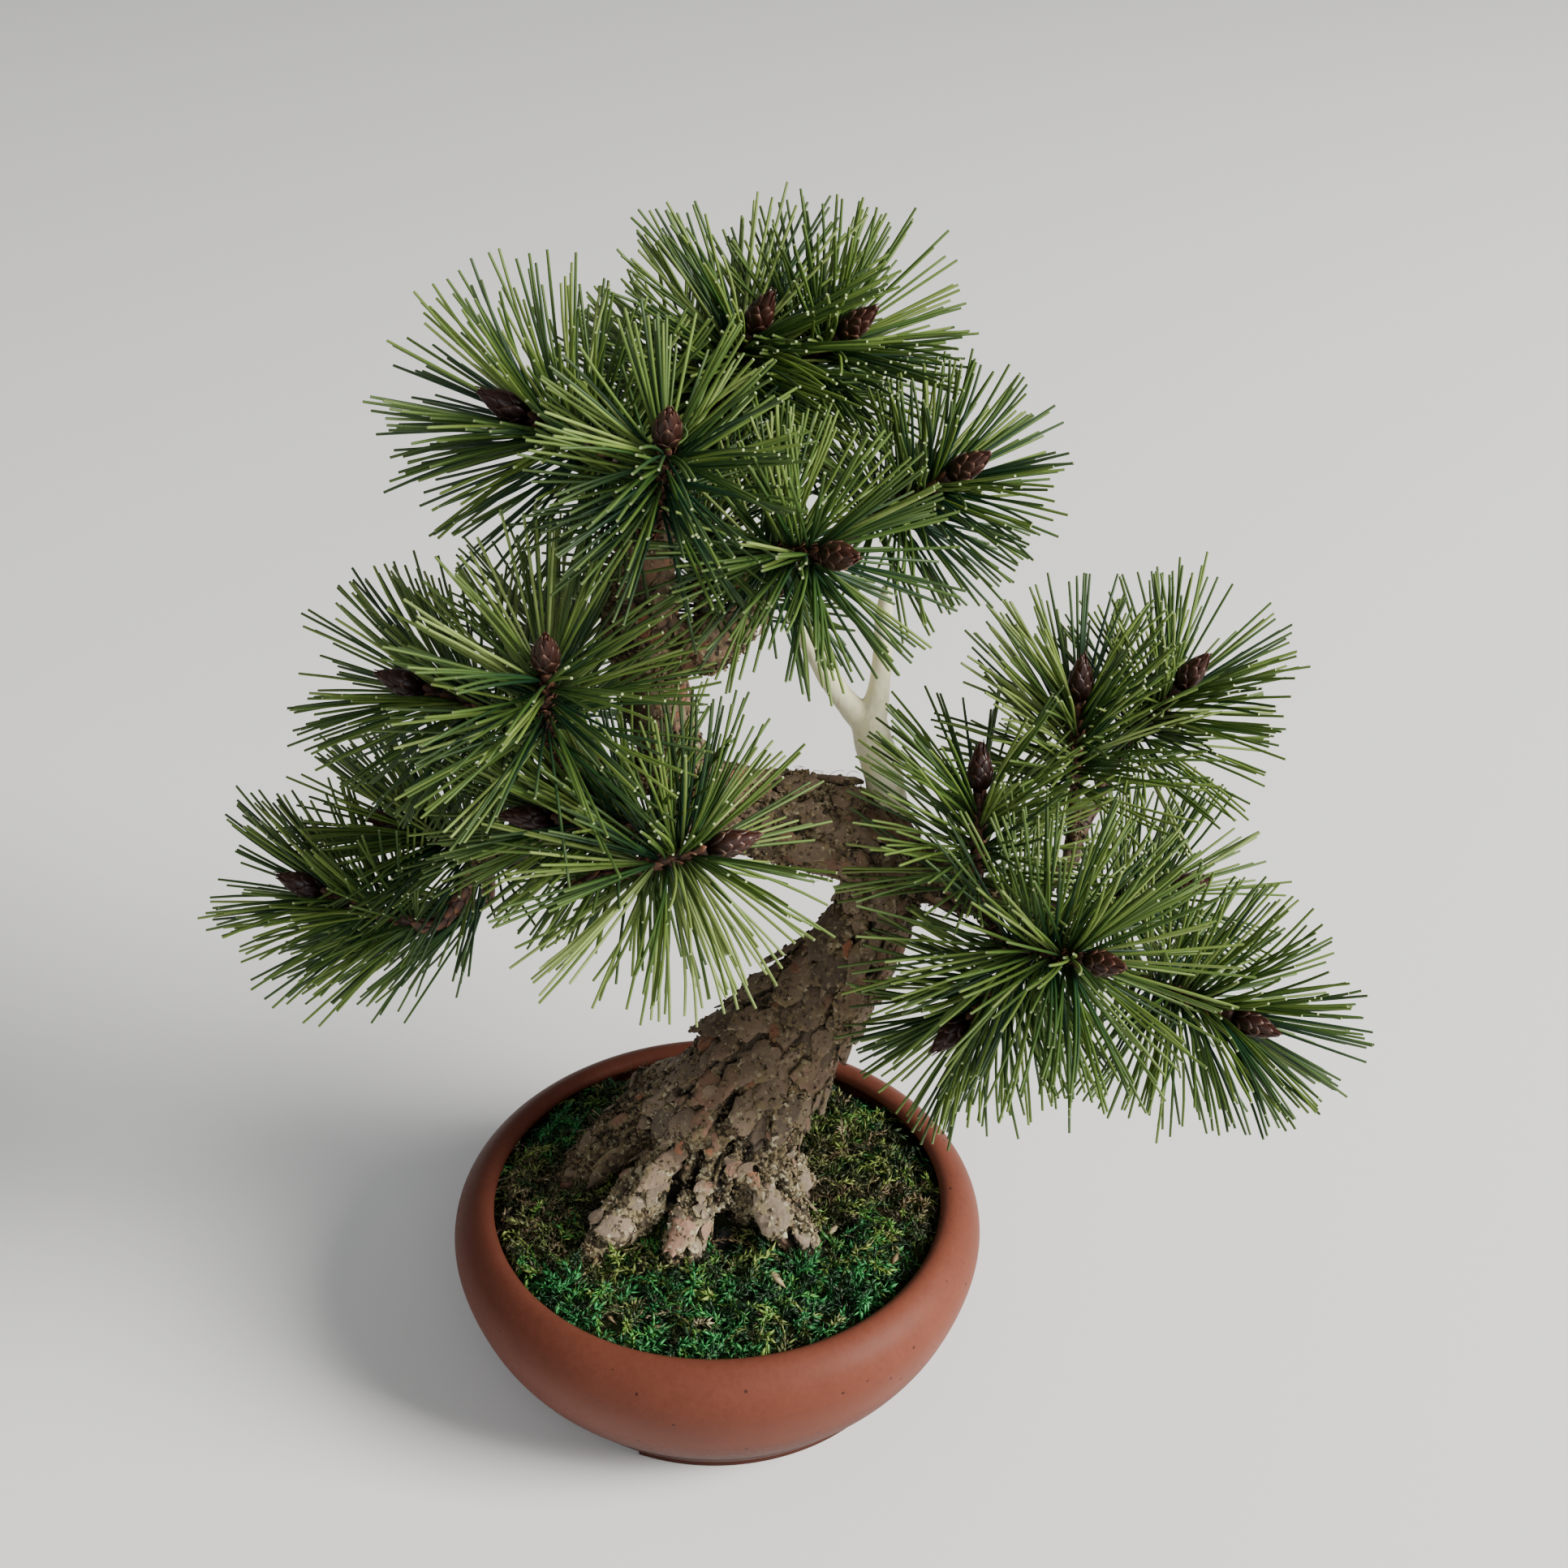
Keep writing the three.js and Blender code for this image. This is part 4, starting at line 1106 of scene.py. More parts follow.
@dataclass
class BonsaiPot:
    """The round pot: a lathed bowl with a rolled shoulder and an in-turned lip, on three feet."""

    radius: float = 0.0996
    height: float = 0.066
    base_radius: float = 0.076
    foot_height: float = 0.003
    foot_width: float = 0.0085
    foot_start: float = -111.0
    foot_span: float = 71.0
    foot_count: int = 3
    wall: float = 0.006
    sides: int = 168

    def profile(self) -> Array:
        """The wall's outline as (radius, height), from under the base over the lip to the floor."""
        low = self.foot_height
        outline = (
            (self.base_radius - 0.004, low), (self.base_radius, low + 0.0004), (0.080, 0.0095),
            (0.088, 0.019), (0.095, 0.032), (self.radius, 0.051), (0.0968, 0.060),
            (0.0905, self.height - 0.0006), (0.0865, self.height - 0.0001), (0.0840, 0.0637),
            (0.0855, 0.0603), (0.0915, 0.055), (0.0938, 0.047), (0.090, 0.033), (0.082, 0.020),
            (0.070, low + self.wall),
        )
        return Route.through([(*point, 0.0, 0.0) for point in outline], 0.0018).places[:, :2]

    def bowl(self) -> Shell:
        """The bowl, closed over its underside and its floor."""
        outline = self.profile()
        turn = even_turns(self.sides)
        wave = 1 + 0.0009 * np.sin(3 * turn + 0.6) + 0.0006 * np.sin(5 * turn)
        held = np.where(outline[:, 0:1] * wave > self.radius, self.radius / outline[:, 0:1], wave)
        reach = outline[:, 0:1] * held
        rings = np.stack([reach * np.cos(turn), reach * np.sin(turn), outline[:, 1:2] + 0 * turn], axis=-1)
        count = len(outline)
        points = np.concatenate([rings.reshape(-1, 3), [[0, 0, outline[0, 1]], [0, 0, outline[-1, 1]]]])
        return Shell(points, ring_quads(count, self.sides), hub_caps(count, self.sides))

    def foot(self, index: int) -> Shell:
        """One arc foot with eased edges.

        Args:
            index: Which of the feet it is.

        Returns:
            The foot, sunk a little into the base.
        """
        ease = 0.0007
        outer = self.base_radius - 0.0006
        inner = outer - self.foot_width
        top = self.foot_height + 0.002
        start = math.radians(self.foot_start + index * 360 / self.foot_count)
        turn = start + np.linspace(0, math.radians(self.foot_span), 40)
        low = [(inner + ease, 0), (outer - ease, 0), (outer, ease)]
        section = np.array([*low, (outer, top), (inner, top), (inner, ease)])
        sides = len(section)
        flat = ways(turn)[:, None] * section[None, :, 0:1]
        high = np.broadcast_to(section[None, :, 1:2], (len(turn), sides, 1))
        points = np.concatenate([flat, high], axis=2).reshape(-1, 3)
        return Shell(points, ring_quads(len(turn), sides)[:, ::-1], flat_caps(len(turn), sides)[:, ::-1])

    def build(self, material: Material) -> None:
        """Builds the whole pot on its node.

        Args:
            material: The clay.
        """
        feet = [self.foot(index) for index in range(self.foot_count)]
        piece = joined([self.bowl(), *feet]).to_object("clay_pot", material)
        settle(piece, "pot")


@dataclass
class Wood:
    """Everything that the skeleton of the tree is made of, and what a needle must stay clear of."""

    spacing: float = 0.002
    tip_length: float = 0.030
    tip_radius: float = 0.0022
    twig_radius: float = 0.0023
    twig_taper: float = 0.0002
    twig_end: float = 0.0018
    bud_balls: tuple[tuple[float, float], ...] = ((0.006, 0.005), (0.012, 0.004))

    def heart_lines(self) -> list[tuple[Growth, Route]]:
        """The routes of trunk, roots and limbs."""
        kinds = [(Growth.TRUNK, TRUNK)]
        kinds += [(Growth.ROOT, points) for points in ROOTS]
        kinds += [(Growth.LIMB, points) for points in LIMBS]
        return [(kind, Route.through(points, self.spacing)) for kind, points in kinds]

    def twig(self, spray: Spray) -> Route:
        """The twig that carries a spray, from inside its limb to behind the woody tip."""
        seat = np.array(spray.bud) - spray.axis * self.tip_length
        before = seat - spray.axis * 0.004
        thick = self.twig_radius + self.twig_taper * (len(spray.twig) - 2)
        bends = [(*point, thick - index * self.twig_taper) for index, point in enumerate(spray.twig)]
        return Route.through([*bends, (*before, self.twig_end), (*seat, self.twig_end)], self.spacing)

    def coarseness(self, kind: Growth, height: Array) -> Array:
        """How coarse the bark is at heights of a line, from 0 to 1."""
        if kind is Growth.TRUNK:
            return np.interp(height, [0.16, 0.2, 0.225, 0.25], [1.0, 0.72, 0.5, 0.22])
        return np.full(len(height), 0.85 if kind is Growth.ROOT else 0.2)

    def grain_at(self, points: Array) -> tuple[Array, Array, Array]:
        """The wood that each point of the skin grows on.

        Args:
            points: Points of the skin.

        Returns:
            The rising direction of the grain, how coarse the bark is from 0 to 1, and the place in the
            frame of the heart line, as if the wood were straight.
        """
        rows = []
        for index, (kind, route) in enumerate(self.heart_lines()):
            tangents, normals, binormals = route.frames()
            run = index * 0.5 + np.arange(len(route.places)) * self.spacing
            coarse = self.coarseness(kind, route.places[:, 2])
            frame_rows = [tangents, normals, binormals, run, coarse]
            rows.append(np.column_stack([route.places, route.radii, *frame_rows]))
        table = np.concatenate(rows)
        found = np.zeros(len(points), int)
        for part in chunks(len(points)):
            away = np.linalg.norm(points[part, None] - table[None, :, :3], axis=2) - table[:, 3]
            found[part] = away.argmin(1)
        near = table[found]
        delta = points - near[:, :3]
        tangent, normal, binormal = near[:, 4:7], near[:, 7:10], near[:, 10:13]
        run = near[:, 13] + (delta * tangent).sum(1)
        unrolled = np.column_stack([(delta * normal).sum(1), (delta * binormal).sum(1), run])
        return tangent * np.where(tangent[:, 2:] < 0, -1.0, 1.0), near[:, 14], unrolled

    def obstacles(self) -> tuple[Array, Array]:
        """Balls that fill the wood, the deadwood and the buds.

        Returns:
            Their centres and their radii.
        """
        routes = [route for _, route in self.heart_lines()]
        routes += [Route.through(points, self.spacing) for points in DEADWOOD]
        centres = [route.places for route in routes]
        radii = [route.radii for route in routes]
        for spray in SPRAYS:
            if not spray.budless:
                way, radius = np.array(self.bud_balls).T
                centres.append(np.array(spray.bud) + spray.axis * way[:, None])
                radii.append(radius)
        return np.concatenate(centres), np.concatenate(radii)

    @staticmethod
    def sights() -> tuple[Array, Array]:
        """The lines on which the buds are seen from the front, which the needles leave open.

        Returns:
            Their starts in the buds, and their directions.
        """
        seen = [spray for spray in SPRAYS if not (spray.budless or spray.veiled)]
        depths = (0.004, 0.009, 0.014)
        starts = np.array([np.array(spray.bud) + spray.axis * depth for spray in seen for depth in depths])
        return starts, unit(np.array(VIEWPOINT) - starts)


@dataclass
class BarkPlates:
    """Plates that tile the bark: ragged cells drawn out along the grain and tilted like shingles."""

    skin: Array
    grain: Array
    coarse: Array
    seed: int = 11
    tries: int = 12000
    largest: tuple[float, float] = (0.0066, 0.0046)
    smallest: tuple[float, float] = (0.0040, 0.0030)
    thickest: float = 0.0017
    thinnest: float = 0.0008
    crowding: float = 0.8
    flare_top: float = 0.104
    warp: float = 0.0022
    fray: float = 0.0007

    def __post_init__(self) -> None:
        """Places the middles of the plates, further apart where the bark is coarse."""
        draw = default_rng(self.seed)
        kept: list[int] = []
        sizes: list[Array] = []
        least, most = np.array(self.smallest), np.array(self.largest)
        for index in draw.choice(len(self.skin), min(self.tries, len(self.skin)), replace=False):
            size = draw.uniform(0.7, 1.2) * (least + (most - least) * self.coarse[index])
            flare = smoothstep((self.flare_top - self.skin[index, 2]) / 0.02)
            size *= (1 + 0.8 * flare, 1 - 0.35 * flare)
            delta = self.skin[kept] - self.skin[index]
            if kept and nearest_plate(delta, self.grain[index], np.array(sizes), size) < self.crowding**2:
                continue
            kept.append(int(index))
            sizes.append(size)
        count = len(kept)
        self.centre = self.skin[kept]
        self.along = self.grain[kept]
        self.side = unit(np.cross(self.along, unit(draw.normal(size=(count, 3)))))
        self.size = np.array(sizes)
        top = self.thinnest + (self.thickest - self.thinnest) * self.coarse[kept]
        self.thick = top * draw.uniform(0.25, 1.0, count)
        self.lift = top * draw.uniform(0.15, 0.75, count)
        self.cant = top * draw.uniform(-0.35, 0.35, count)
        self.tone = draw.random(count)
        LOG.info("bark plates: %d", count)

    def warped(self, points: Array) -> Array:
        """The points, shifted by noise so that the plates' outlines run ragged."""
        shift = [LatticeNoise(self.seed + k).at(points, 0.009, 2) * self.warp for k in (1, 2, 3)]
        fray = [LatticeNoise(self.seed + k).at(points, 0.0022, 1) * self.fray for k in (4, 5, 6)]
        return points + np.stack(shift, axis=1) + np.stack(fray, axis=1)

    def relief(self, points: Array) -> tuple[Array, Array, Array]:
        """How far the plates stand out at points of the skin.

        Args:
            points: The points.

        Returns:
            The height of the plate, its tone, and the distance to its border.
        """
        moved = self.warped(points)
        height, tone, border = (np.zeros(len(points)) for _ in range(3))
        for part in chunks(len(points)):
            delta = moved[part, None] - self.centre[None]
            along = np.einsum("ijk,jk->ij", delta, self.along)
            across = (delta**2).sum(2) - along**2
            away = (along / self.size[:, 0]) ** 2 + across / self.size[:, 1] ** 2
            rows = np.arange(len(away))
            best = away.argmin(1)
            nearest = away[rows, best]
            away[rows, best] = np.inf
            long, wide = self.size[best].T
            border[part] = (np.sqrt(away.min(1)) - np.sqrt(nearest)) / 2 * wide
            tilt = np.clip(-along[rows, best] / long, -1, 1)
            lean = np.clip((delta[rows, best] * self.side[best]).sum(1) / wide, -1, 1)
            height[part] = self.thick[best] + self.lift[best] * tilt + self.cant[best] * lean
            tone[part] = self.tone[best]
        return height, tone, border


@dataclass(frozen=True)
class Hollow:
    """A hollow in the foot of the trunk, darkened with painted shade."""

    centre: Place
    radius: float
    depth: float


@dataclass
class BarkedSkin:
    """The skin of the wood in arrays: the bare points, their normals and what grows on them."""

    bare: Array
    normals: Array
    grain: Array
    coarse: Array
    points: Array
    grit: Array
    border: Array


@dataclass
class SlabLayer:
    """Shapes plates of bark that lie on the wood like slates, their lower edges off the skin."""

    skin: BarkedSkin
    sides: int = 28
    reaches: tuple[float, ...] = (0.14, 0.42, 0.7, 0.88, 1.0)
    patch: int = 110
    corners: int = 6
    follow: float = 0.72
    sunk: float = 0.0002

    def __post_init__(self) -> None:
        """Sorts the points of the bare skin, to find the nearest one."""
        self.tree = KDTree(len(self.skin.bare))
        for index, point in enumerate(self.skin.bare):
            self.tree.insert(point, index)
        self.tree.balance()

    def outline(self, count: int, draw: Generator) -> Array:
        """Ragged many-cornered outlines, as the reach at each side."""
        turn = even_turns(self.sides)
        faces = (np.arange(self.corners) + draw.uniform(-0.3, 0.3, (count, self.corners))) / self.corners
        away = draw.uniform(0.72, 1.0, faces.shape)
        toward = np.cos(turn - FULL_TURN * faces[..., None])
        reach = (away[..., None] / np.maximum(toward, 0.3)).min(1)
        waves, shape = np.array([3, 5, 9])[:, None] * turn, (count, 3, 1)
        ragged = draw.normal(0, 0.05, shape) * np.cos(waves + draw.uniform(0, FULL_TURN, shape))
        return np.minimum(reach, 1.2) * (1 + ragged.sum(1) + draw.normal(0, 0.045, reach.shape))

    def shell(self, table: Array, lift: Array, thick: Array, draw: Generator) -> Shell:
        """Closed plates on the wood.

        Args:
            table: A row for each plate: place, half length, half width, tone and turn in degrees.
            lift: How far the lower edge of each stands off.
            thick: How thick each is.
            draw: What makes each one different.

        Returns:
            All the plates in one shell.
        """
        count, skin = len(table), self.skin
        near = [[item[1] for item in self.tree.find_n(place, self.patch)] for place in table[:, :3]]
        normal = unit(skin.normals[near].mean(1))
        home = skin.bare[[row[0] for row in near]]
        rising = skin.grain[near].mean(1)
        grain = unit(rising - normal * (rising * normal).sum(1, keepdims=True))
        side = np.cross(grain, normal)
        turn = np.radians(table[:, 6:7])
        grain, side = grain * np.cos(turn) + side * np.sin(turn), side * np.cos(turn) - grain * np.sin(turn)
        around = even_turns(self.sides)
        reach = self.outline(count, draw)[:, None] * np.array(self.reaches)[:, None]
        across, along = reach * np.cos(around), reach * np.sin(around)
        u = (across * table[:, 4, None, None])[..., None] * side[:, None, None]
        v = (along * table[:, 3, None, None])[..., None] * grain[:, None, None]
        flat = home[:, None, None] + u + v
        found = [self.tree.find(point)[1] for point in flat.reshape(-1, 3)]
        sag = ((skin.bare[found].reshape(flat.shape) - flat) * normal[:, None, None]).sum(3)
        sag = self.follow * np.clip(sag, -0.55 * table[:, 4, None, None], 0.0015)
        lower = np.clip(0.5 - 0.5 * along, 0, 1) ** 1.3
        stand = self.sunk + lift[:, None, None] * (lower + draw.uniform(-0.3, 0.3, (count, 1, 1)) * across)
        spots = flat.reshape(-1, 3)
        relief = 0.0005 * LatticeNoise(51).at(spots, 0.007, 2)
        relief += 0.00018 * LatticeNoise(52).at(spots, 0.0018, 2)
        depth = thick[:, None, None]
        bevel = depth * np.interp(self.reaches, [0.8, 1.0], [0.0, 0.45])[:, None]
        top = flat + normal[:, None, None] * (sag + stand + relief.reshape(sag.shape) - bevel)[..., None]
        under = flat + normal[:, None, None] * (sag + stand - depth)[..., None]
        rings = np.concatenate([under, top[:, ::-1]], axis=1)
        rows = 2 * len(self.reaches)
        size = rows * self.sides
        quads = repeated(ring_quads(rows, self.sides), count, size)
        shell = Shell(rings.reshape(-1, 3), quads, repeated(flat_caps(rows, self.sides), count, size))
        worn = smoothstep(LatticeNoise(53).at(spots, 0.006, 2) * 2.2 + 0.35).reshape(sag.shape)
        low = 0.14 * (table[:, 2, None, None] < 0.1)
        rough = worn * (np.interp(self.reaches, [0.3, 0.75, 1.0], [0.08, 0.36, 0.92])[:, None] + low)
        grit = np.concatenate([np.full(sag.shape, 0.6), rough[:, ::-1]], axis=1)
        # Painted shade on the undersides of the plates.
        gap = np.concatenate([np.full(sag.shape, 0.8), np.zeros(sag.shape)], axis=1)
        return shell.tagged(tone=np.repeat(table[:, 5], size), gap=gap.ravel(), grit=grit.ravel())


@dataclass
class BarkedWood:
    """Trunk, roots and limbs under plated bark, with crumbs and loose flakes, and scaly twigs."""

    wood: Wood
    voxel: float = 0.00072
    smoothing: int = 5
    joint_height: float = 0.187
    joint_steps: int = 5
    joint_fade: float = 0.88
    crack_depth: float = 0.0016
    fissure_depth: float = 0.0030
    slit_depth: float = 0.0055
    slit_width: float = 0.0012
    crumb_count: int = 19000
    plate_crumbs: int = 2400
    flake_count: int = 520
    slab_tries: int = 4200
    slab_crowding: float = 0.74
    fibre_count: int = 620
    underside: float = 0.0445
    soil_line: float = 0.049
    flare_foot: float = 0.062
    flare_top: float = 0.106
    slab_length: float = 0.0108
    slab_lowest: float = 0.101
    seed: int = 5
    hollows: tuple[Hollow, ...] = (Hollow((0.001, -0.018, 0.061), 0.0092, 0.0120),)

    def skin_routes(self) -> tuple[list[Route], list[Route]]:
        """The heart lines of the foot and of the crown, which meet below the bend of the trunk."""
        lines = self.wood.heart_lines()
        trunk = lines[0][1]
        joint = int(np.argmax(trunk.places[:, 2] > self.joint_height))
        reach = self.joint_steps
        steps = np.arange(len(trunk.places))
        falling = np.interp(steps, [joint - reach, joint + reach], [1.0, self.joint_fade])
        rising = np.interp(steps, [joint - reach, joint + reach], [self.joint_fade, 1.0])
        below = Route(trunk.places[: joint + reach], (trunk.radii * falling)[: joint + reach])
        above = Route(trunk.places[joint - reach :], (trunk.radii * rising)[joint - reach :])
        foot = [below, *(route for kind, route in lines if kind is Growth.ROOT)]
        crown = [above, *(route for kind, route in lines if kind is Growth.LIMB)]
        return foot, crown

    def hollowed(self, points: Array) -> tuple[Array, Array]:
        """How deep the hollows and slits are at points of the skin, and how much painted shade darkens
        them.
        """
        # The dark share is painted shade in the hollows and the slits.
        depth, dark = np.zeros(len(points)), np.zeros(len(points))
        for hollow in self.hollows:
            away = np.linalg.norm(points - np.array(hollow.centre), axis=1)
            share = smoothstep(1.35 - away / hollow.radius)
            depth += hollow.depth * share
            dark = np.maximum(dark, smoothstep(share * 1.6))
        for start, end in np.array(SLITS):
            run = end - start
            share = np.clip((points - start) @ run / (run @ run), 0, 1)
            away = np.linalg.norm(points - start - share[:, None] * run, axis=1)
            open_share = smoothstep(1.9 - away / self.slit_width)
            depth += self.slit_depth * open_share
            dark = np.maximum(dark, open_share)
        return depth, dark

    def dress(self, skins: Sequence[tuple[Shell, Array]]) -> tuple[list[Shell], BarkedSkin]:
        """Raises the bark on the skins.

        Args:
            skins: The bare skins with their normals.

        Returns:
            The barked skins, and all of their points in arrays.
        """
        base = np.concatenate([skin.points for skin, _ in skins])
        normals = np.concatenate([normal for _, normal in skins])
        grain, coarse, unrolled = self.wood.grain_at(base)
        plates, tone, border = BarkPlates(base, grain, coarse).relief(base)
        swell = LatticeNoise(21).at(base, 0.026, 2)
        ridge = LatticeNoise(27).at(unrolled * np.array([110.0, 110.0, 18.0]), 1.0, 2)
        split = LatticeNoise(28).at(unrolled * np.array([130.0, 130.0, 24.0]), 1.0, 1)
        torn = smoothstep(LatticeNoise(29).at(base, 0.03, 1) * 3 + 0.5) * smoothstep(coarse * 3 - 1.5)
        fissure = smoothstep(1.5 - np.abs(split) / 0.055) * torn
        open_edge = smoothstep(LatticeNoise(30).at(base, 0.012, 2) * 2.4 + 0.5)
        crack = open_edge * np.exp(-((border / 0.00075) ** 2))
        height = base[:, 2]
        flare = smoothstep((self.flare_top - height) / 0.014)
        flare *= smoothstep((height - self.flare_foot) / 0.010)
        patch = smoothstep(LatticeNoise(24).at(base, 0.017, 2) * 2.6 + 0.62 + 1.1 * flare)
        matrix = smoothstep(1.25 - border / (0.0006 + 0.0038 * patch))
        grit = np.clip(matrix * (0.35 + 0.65 * patch) + 0.5 * patch, 0, 1)
        granules = LatticeNoise(22).at(base, 0.0021, 2)
        hollow, dark = self.hollowed(base)
        rise = plates * (1 - 0.35 * grit)
        rise += (0.0007 + 0.0007 * coarse) * (1 + 0.9 * flare) * ridge + 0.0011 * swell
        rise += 0.0015 * grit * granules
        rise -= self.crack_depth * crack * (0.5 + 0.5 * coarse) + self.fissure_depth * fissure
        rise -= 0.00035 * np.exp(-border / 0.0007)
        buried = smoothstep((self.soil_line - height) / 0.005)
        shift = (rise - 0.0011) * (1 - buried) - hollow
        points = base + normals * shift[:, None]
        points[:, 2] = np.maximum(points[:, 2], self.underside)
        # Painted shade in the cracks, the fissures, the slits and the hollow.
        gap = np.clip(0.95 * crack + fissure + dark, 0, 1)
        made, start = [], 0
        for skin, _ in skins:
            part = slice(start, start + len(skin.points))
            start = part.stop
            barked = Shell(points[part], skin.quads, skin.tris)
            made.append(barked.tagged(tone=tone[part], gap=gap[part], grit=grit[part]))
        return made, BarkedSkin(base, normals, grain, coarse, points, grit, border)

    def crumbs(self, skin: BarkedSkin, slabs: Shell) -> Shell:
        """Small angular crumbs of bark that cling to the skin and to the large plates.

        Args:
            skin: The barked skin.
            slabs: The large plates.

        Returns:
            All the crumbs in one shell.
        """
        draw = default_rng(self.seed)
        count = self.crumb_count
        chance = (0.03 + skin.grit**1.5) * (skin.points[:, 2] > 0.054)
        chosen = picked(chance, count, draw)
        tops = np.flatnonzero(slabs.values["gap"] < 0.1)
        chosen_tops = draw.choice(tops, self.plate_crumbs, replace=False)
        count += self.plate_crumbs
        raised = skin.points[chosen] + skin.normals[chosen] * 0.0003
        homes = np.concatenate([raised, slabs.points[chosen_tops]])
        size = draw.uniform(0.00035, 0.00115, (count, 1, 1)) * draw.uniform(0.5, 1.25, (count, 1, 3))
        ragged = draw.uniform(0.65, 1.3, (count, 6, 1))
        shell = shard_shell(homes[:, None] + shards(size, ragged, random_turns(draw, count)))
        bright, tone = np.repeat(draw.random((2, count)), 6, axis=1)
        return shell.tagged(tone=tone, gap=0.0, grit=0.3 + 0.7 * bright)

    def slabs(self, skin: BarkedSkin, layer: SlabLayer) -> Shell:
        """The large plates: those that stand out at the front, and others between and behind them.

        Args:
            skin: The barked skin.
            layer: What shapes them.

        Returns:
            All the plates in one shell.
        """
        draw = default_rng(self.seed + 1)
        rows = [(*slab.place, slab.half_long, slab.half_wide, slab.tone, slab.turn) for slab in SLABS]
        open_places = skin.bare[self.hollowed(skin.bare)[1] > 0.5]
        for index in draw.choice(len(skin.bare), self.slab_tries, replace=False):
            coarse, place = skin.coarse[index], skin.bare[index]
            size = draw.uniform(0.5, 1.35) * (0.4 + 0.6 * coarse)
            long = self.slab_length * size
            wide = long * draw.uniform(0.5, 0.85)
            if place[2] < self.slab_lowest or coarse < 0.25:
                continue
            if np.linalg.norm(open_places - place, axis=1).min() < 0.6 * wide:
                continue
            known = np.array(rows)
            near = nearest_plate(known[:, :3] - place, skin.grain[index], known[:, 3:5], (long, wide))
            if near > self.slab_crowding**2:
                rows.append((*place, long, wide, draw.random() * 0.9, draw.normal(0, 14)))
        table = np.array(rows)
        LOG.info("bark slabs: %d", len(table))
        lift = draw.uniform(0.0020, 0.0064, len(table)) * table[:, 3] / 0.0092
        lift[: len(SLABS)] *= 1.3
        lift *= np.interp(table[:, 2], [0.170, 0.195, 0.245, 0.260], [1.0, 0.5, 0.5, 0.4])
        return layer.shell(table, lift, draw.uniform(0.0011, 0.0022, len(table)), draw)

    def flakes(self, skin: BarkedSkin, layer: SlabLayer) -> Shell:
        """Small loose flakes of bark at the edges of the plates.

        Args:
            skin: The barked skin.
            layer: What shapes them.

        Returns:
            All the flakes in one shell.
        """
        draw = default_rng(self.seed + 3)
        count = self.flake_count
        chance = np.exp(-skin.border / 0.001) * (skin.points[:, 2] > 0.062)
        chosen = picked(chance, count, draw)
        big = 0.4 + 0.6 * skin.coarse[chosen]
        long, wide = big * draw.uniform(0.0022, 0.0052, (2, count)) * np.array([[1.0], [0.75]])
        rest = [long, wide, draw.random(count), draw.normal(0, 40, count)]
        table = np.column_stack([skin.bare[chosen], *rest])
        lift = draw.uniform(0.0006, 0.0030, count) * np.interp(table[:, 2], [0.170, 0.195], [1.0, 0.4])
        return layer.shell(table, lift, np.full(count, 0.0006), draw)

    def fibres(self, skin: BarkedSkin) -> Shell:
        """Fine root hairs and dry moss that hang on the left root and on the arch.

        Args:
            skin: The barked skin.

        Returns:
            All the fibres in one shell.
        """
        draw = default_rng(self.seed + 2)
        x, y, z = skin.points.T
        root = (x < -0.028) & (y > 0.0) & (z > 0.052) & (z < 0.088)
        arch = (z > 0.192) & (z < 0.236) & (x > 0.02) & (x < 0.1)
        chance = 1.0 * root + 0.35 * arch
        chosen = picked(chance, self.fibre_count, draw)
        normal = skin.normals[chosen]
        first = unit(normal * 0.5 + draw.normal(0, 0.8, normal.shape))
        length = draw.uniform(0.004, 0.011, self.fibre_count)
        paths = curled_paths(skin.points[chosen] - normal * 0.0002, first, length, 2.8, 7, draw)
        widths = 0.00017 * np.linspace(1, 0.5, 7)
        shell = tube_bundle(paths, widths, 3)
        return shell.tagged(tone=0.2, gap=0.0, grit=np.repeat(draw.random(self.fibre_count), 21))

    def build(self, bark: Material, shoot: Material) -> None:
        """Builds all the wood that is alive: the barked skins, what clings to them, and the twigs.

        Args:
            bark: The bark.
            shoot: The finish of the twigs.
        """
        bodies = [joined([route.tube(24) for route in routes]) for routes in self.skin_routes()]
        skins = [remeshed(body, self.voxel, self.smoothing) for body in bodies]
        (foot, crown), skin = self.dress(skins)
        twigs = [ScalyStem(self.wood.twig(spray), seed=index) for index, spray in enumerate(SPRAYS)]
        slabs = self.slabs(skin, SlabLayer(skin))
        crumbs = self.crumbs(skin, slabs)
        flakes = self.flakes(skin, SlabLayer(skin, sides=10, reaches=(0.3, 0.75, 1.0), patch=24))
        pieces = [
            foot.to_object("bark_foot", bark),
            crown.to_object("bark_crown", bark),
            crumbs.to_object("bark_crumbs", bark, crisp=30.0),
            slabs.to_object("bark_slabs", bark, crisp=38.0),
            flakes.to_object("bark_flakes", bark, crisp=38.0),
            self.fibres(skin).to_object("bark_fibres", bark),
            joined([twig.shell() for twig in twigs]).to_object("twigs", shoot),
        ]
        for piece in pieces:
            settle(piece, "trunk")


def shards(size: Array, ragged: Array, frames: Array) -> Array:
    """The corners of ragged octahedra.

    Args:
        size: The three half sizes of each, or of each corner.
        ragged: A factor for every corner.
        frames: The axes of each, as the columns of a matrix.

    Returns:
        Six points for each, round its middle.
    """
    corners = np.array([(1, 0, 0), (-1, 0, 0), (0, 1, 0), (0, -1, 0), (0, 0, 1), (0, 0, -1)], float)
    return np.einsum("nij,nkj->nki", frames, corners * ragged * size)


def shard_shell(points: Array) -> Shell:
    """The octahedra that have these corners."""
    ring = (0, 2, 1, 3)
    upper = [(ring[k], ring[(k + 1) % 4], 4) for k in range(4)]
    lower = [(ring[(k + 1) % 4], ring[k], 5) for k in range(4)]
    return Shell(points.reshape(-1, 3), tris=repeated(np.array(upper + lower), len(points), 6))


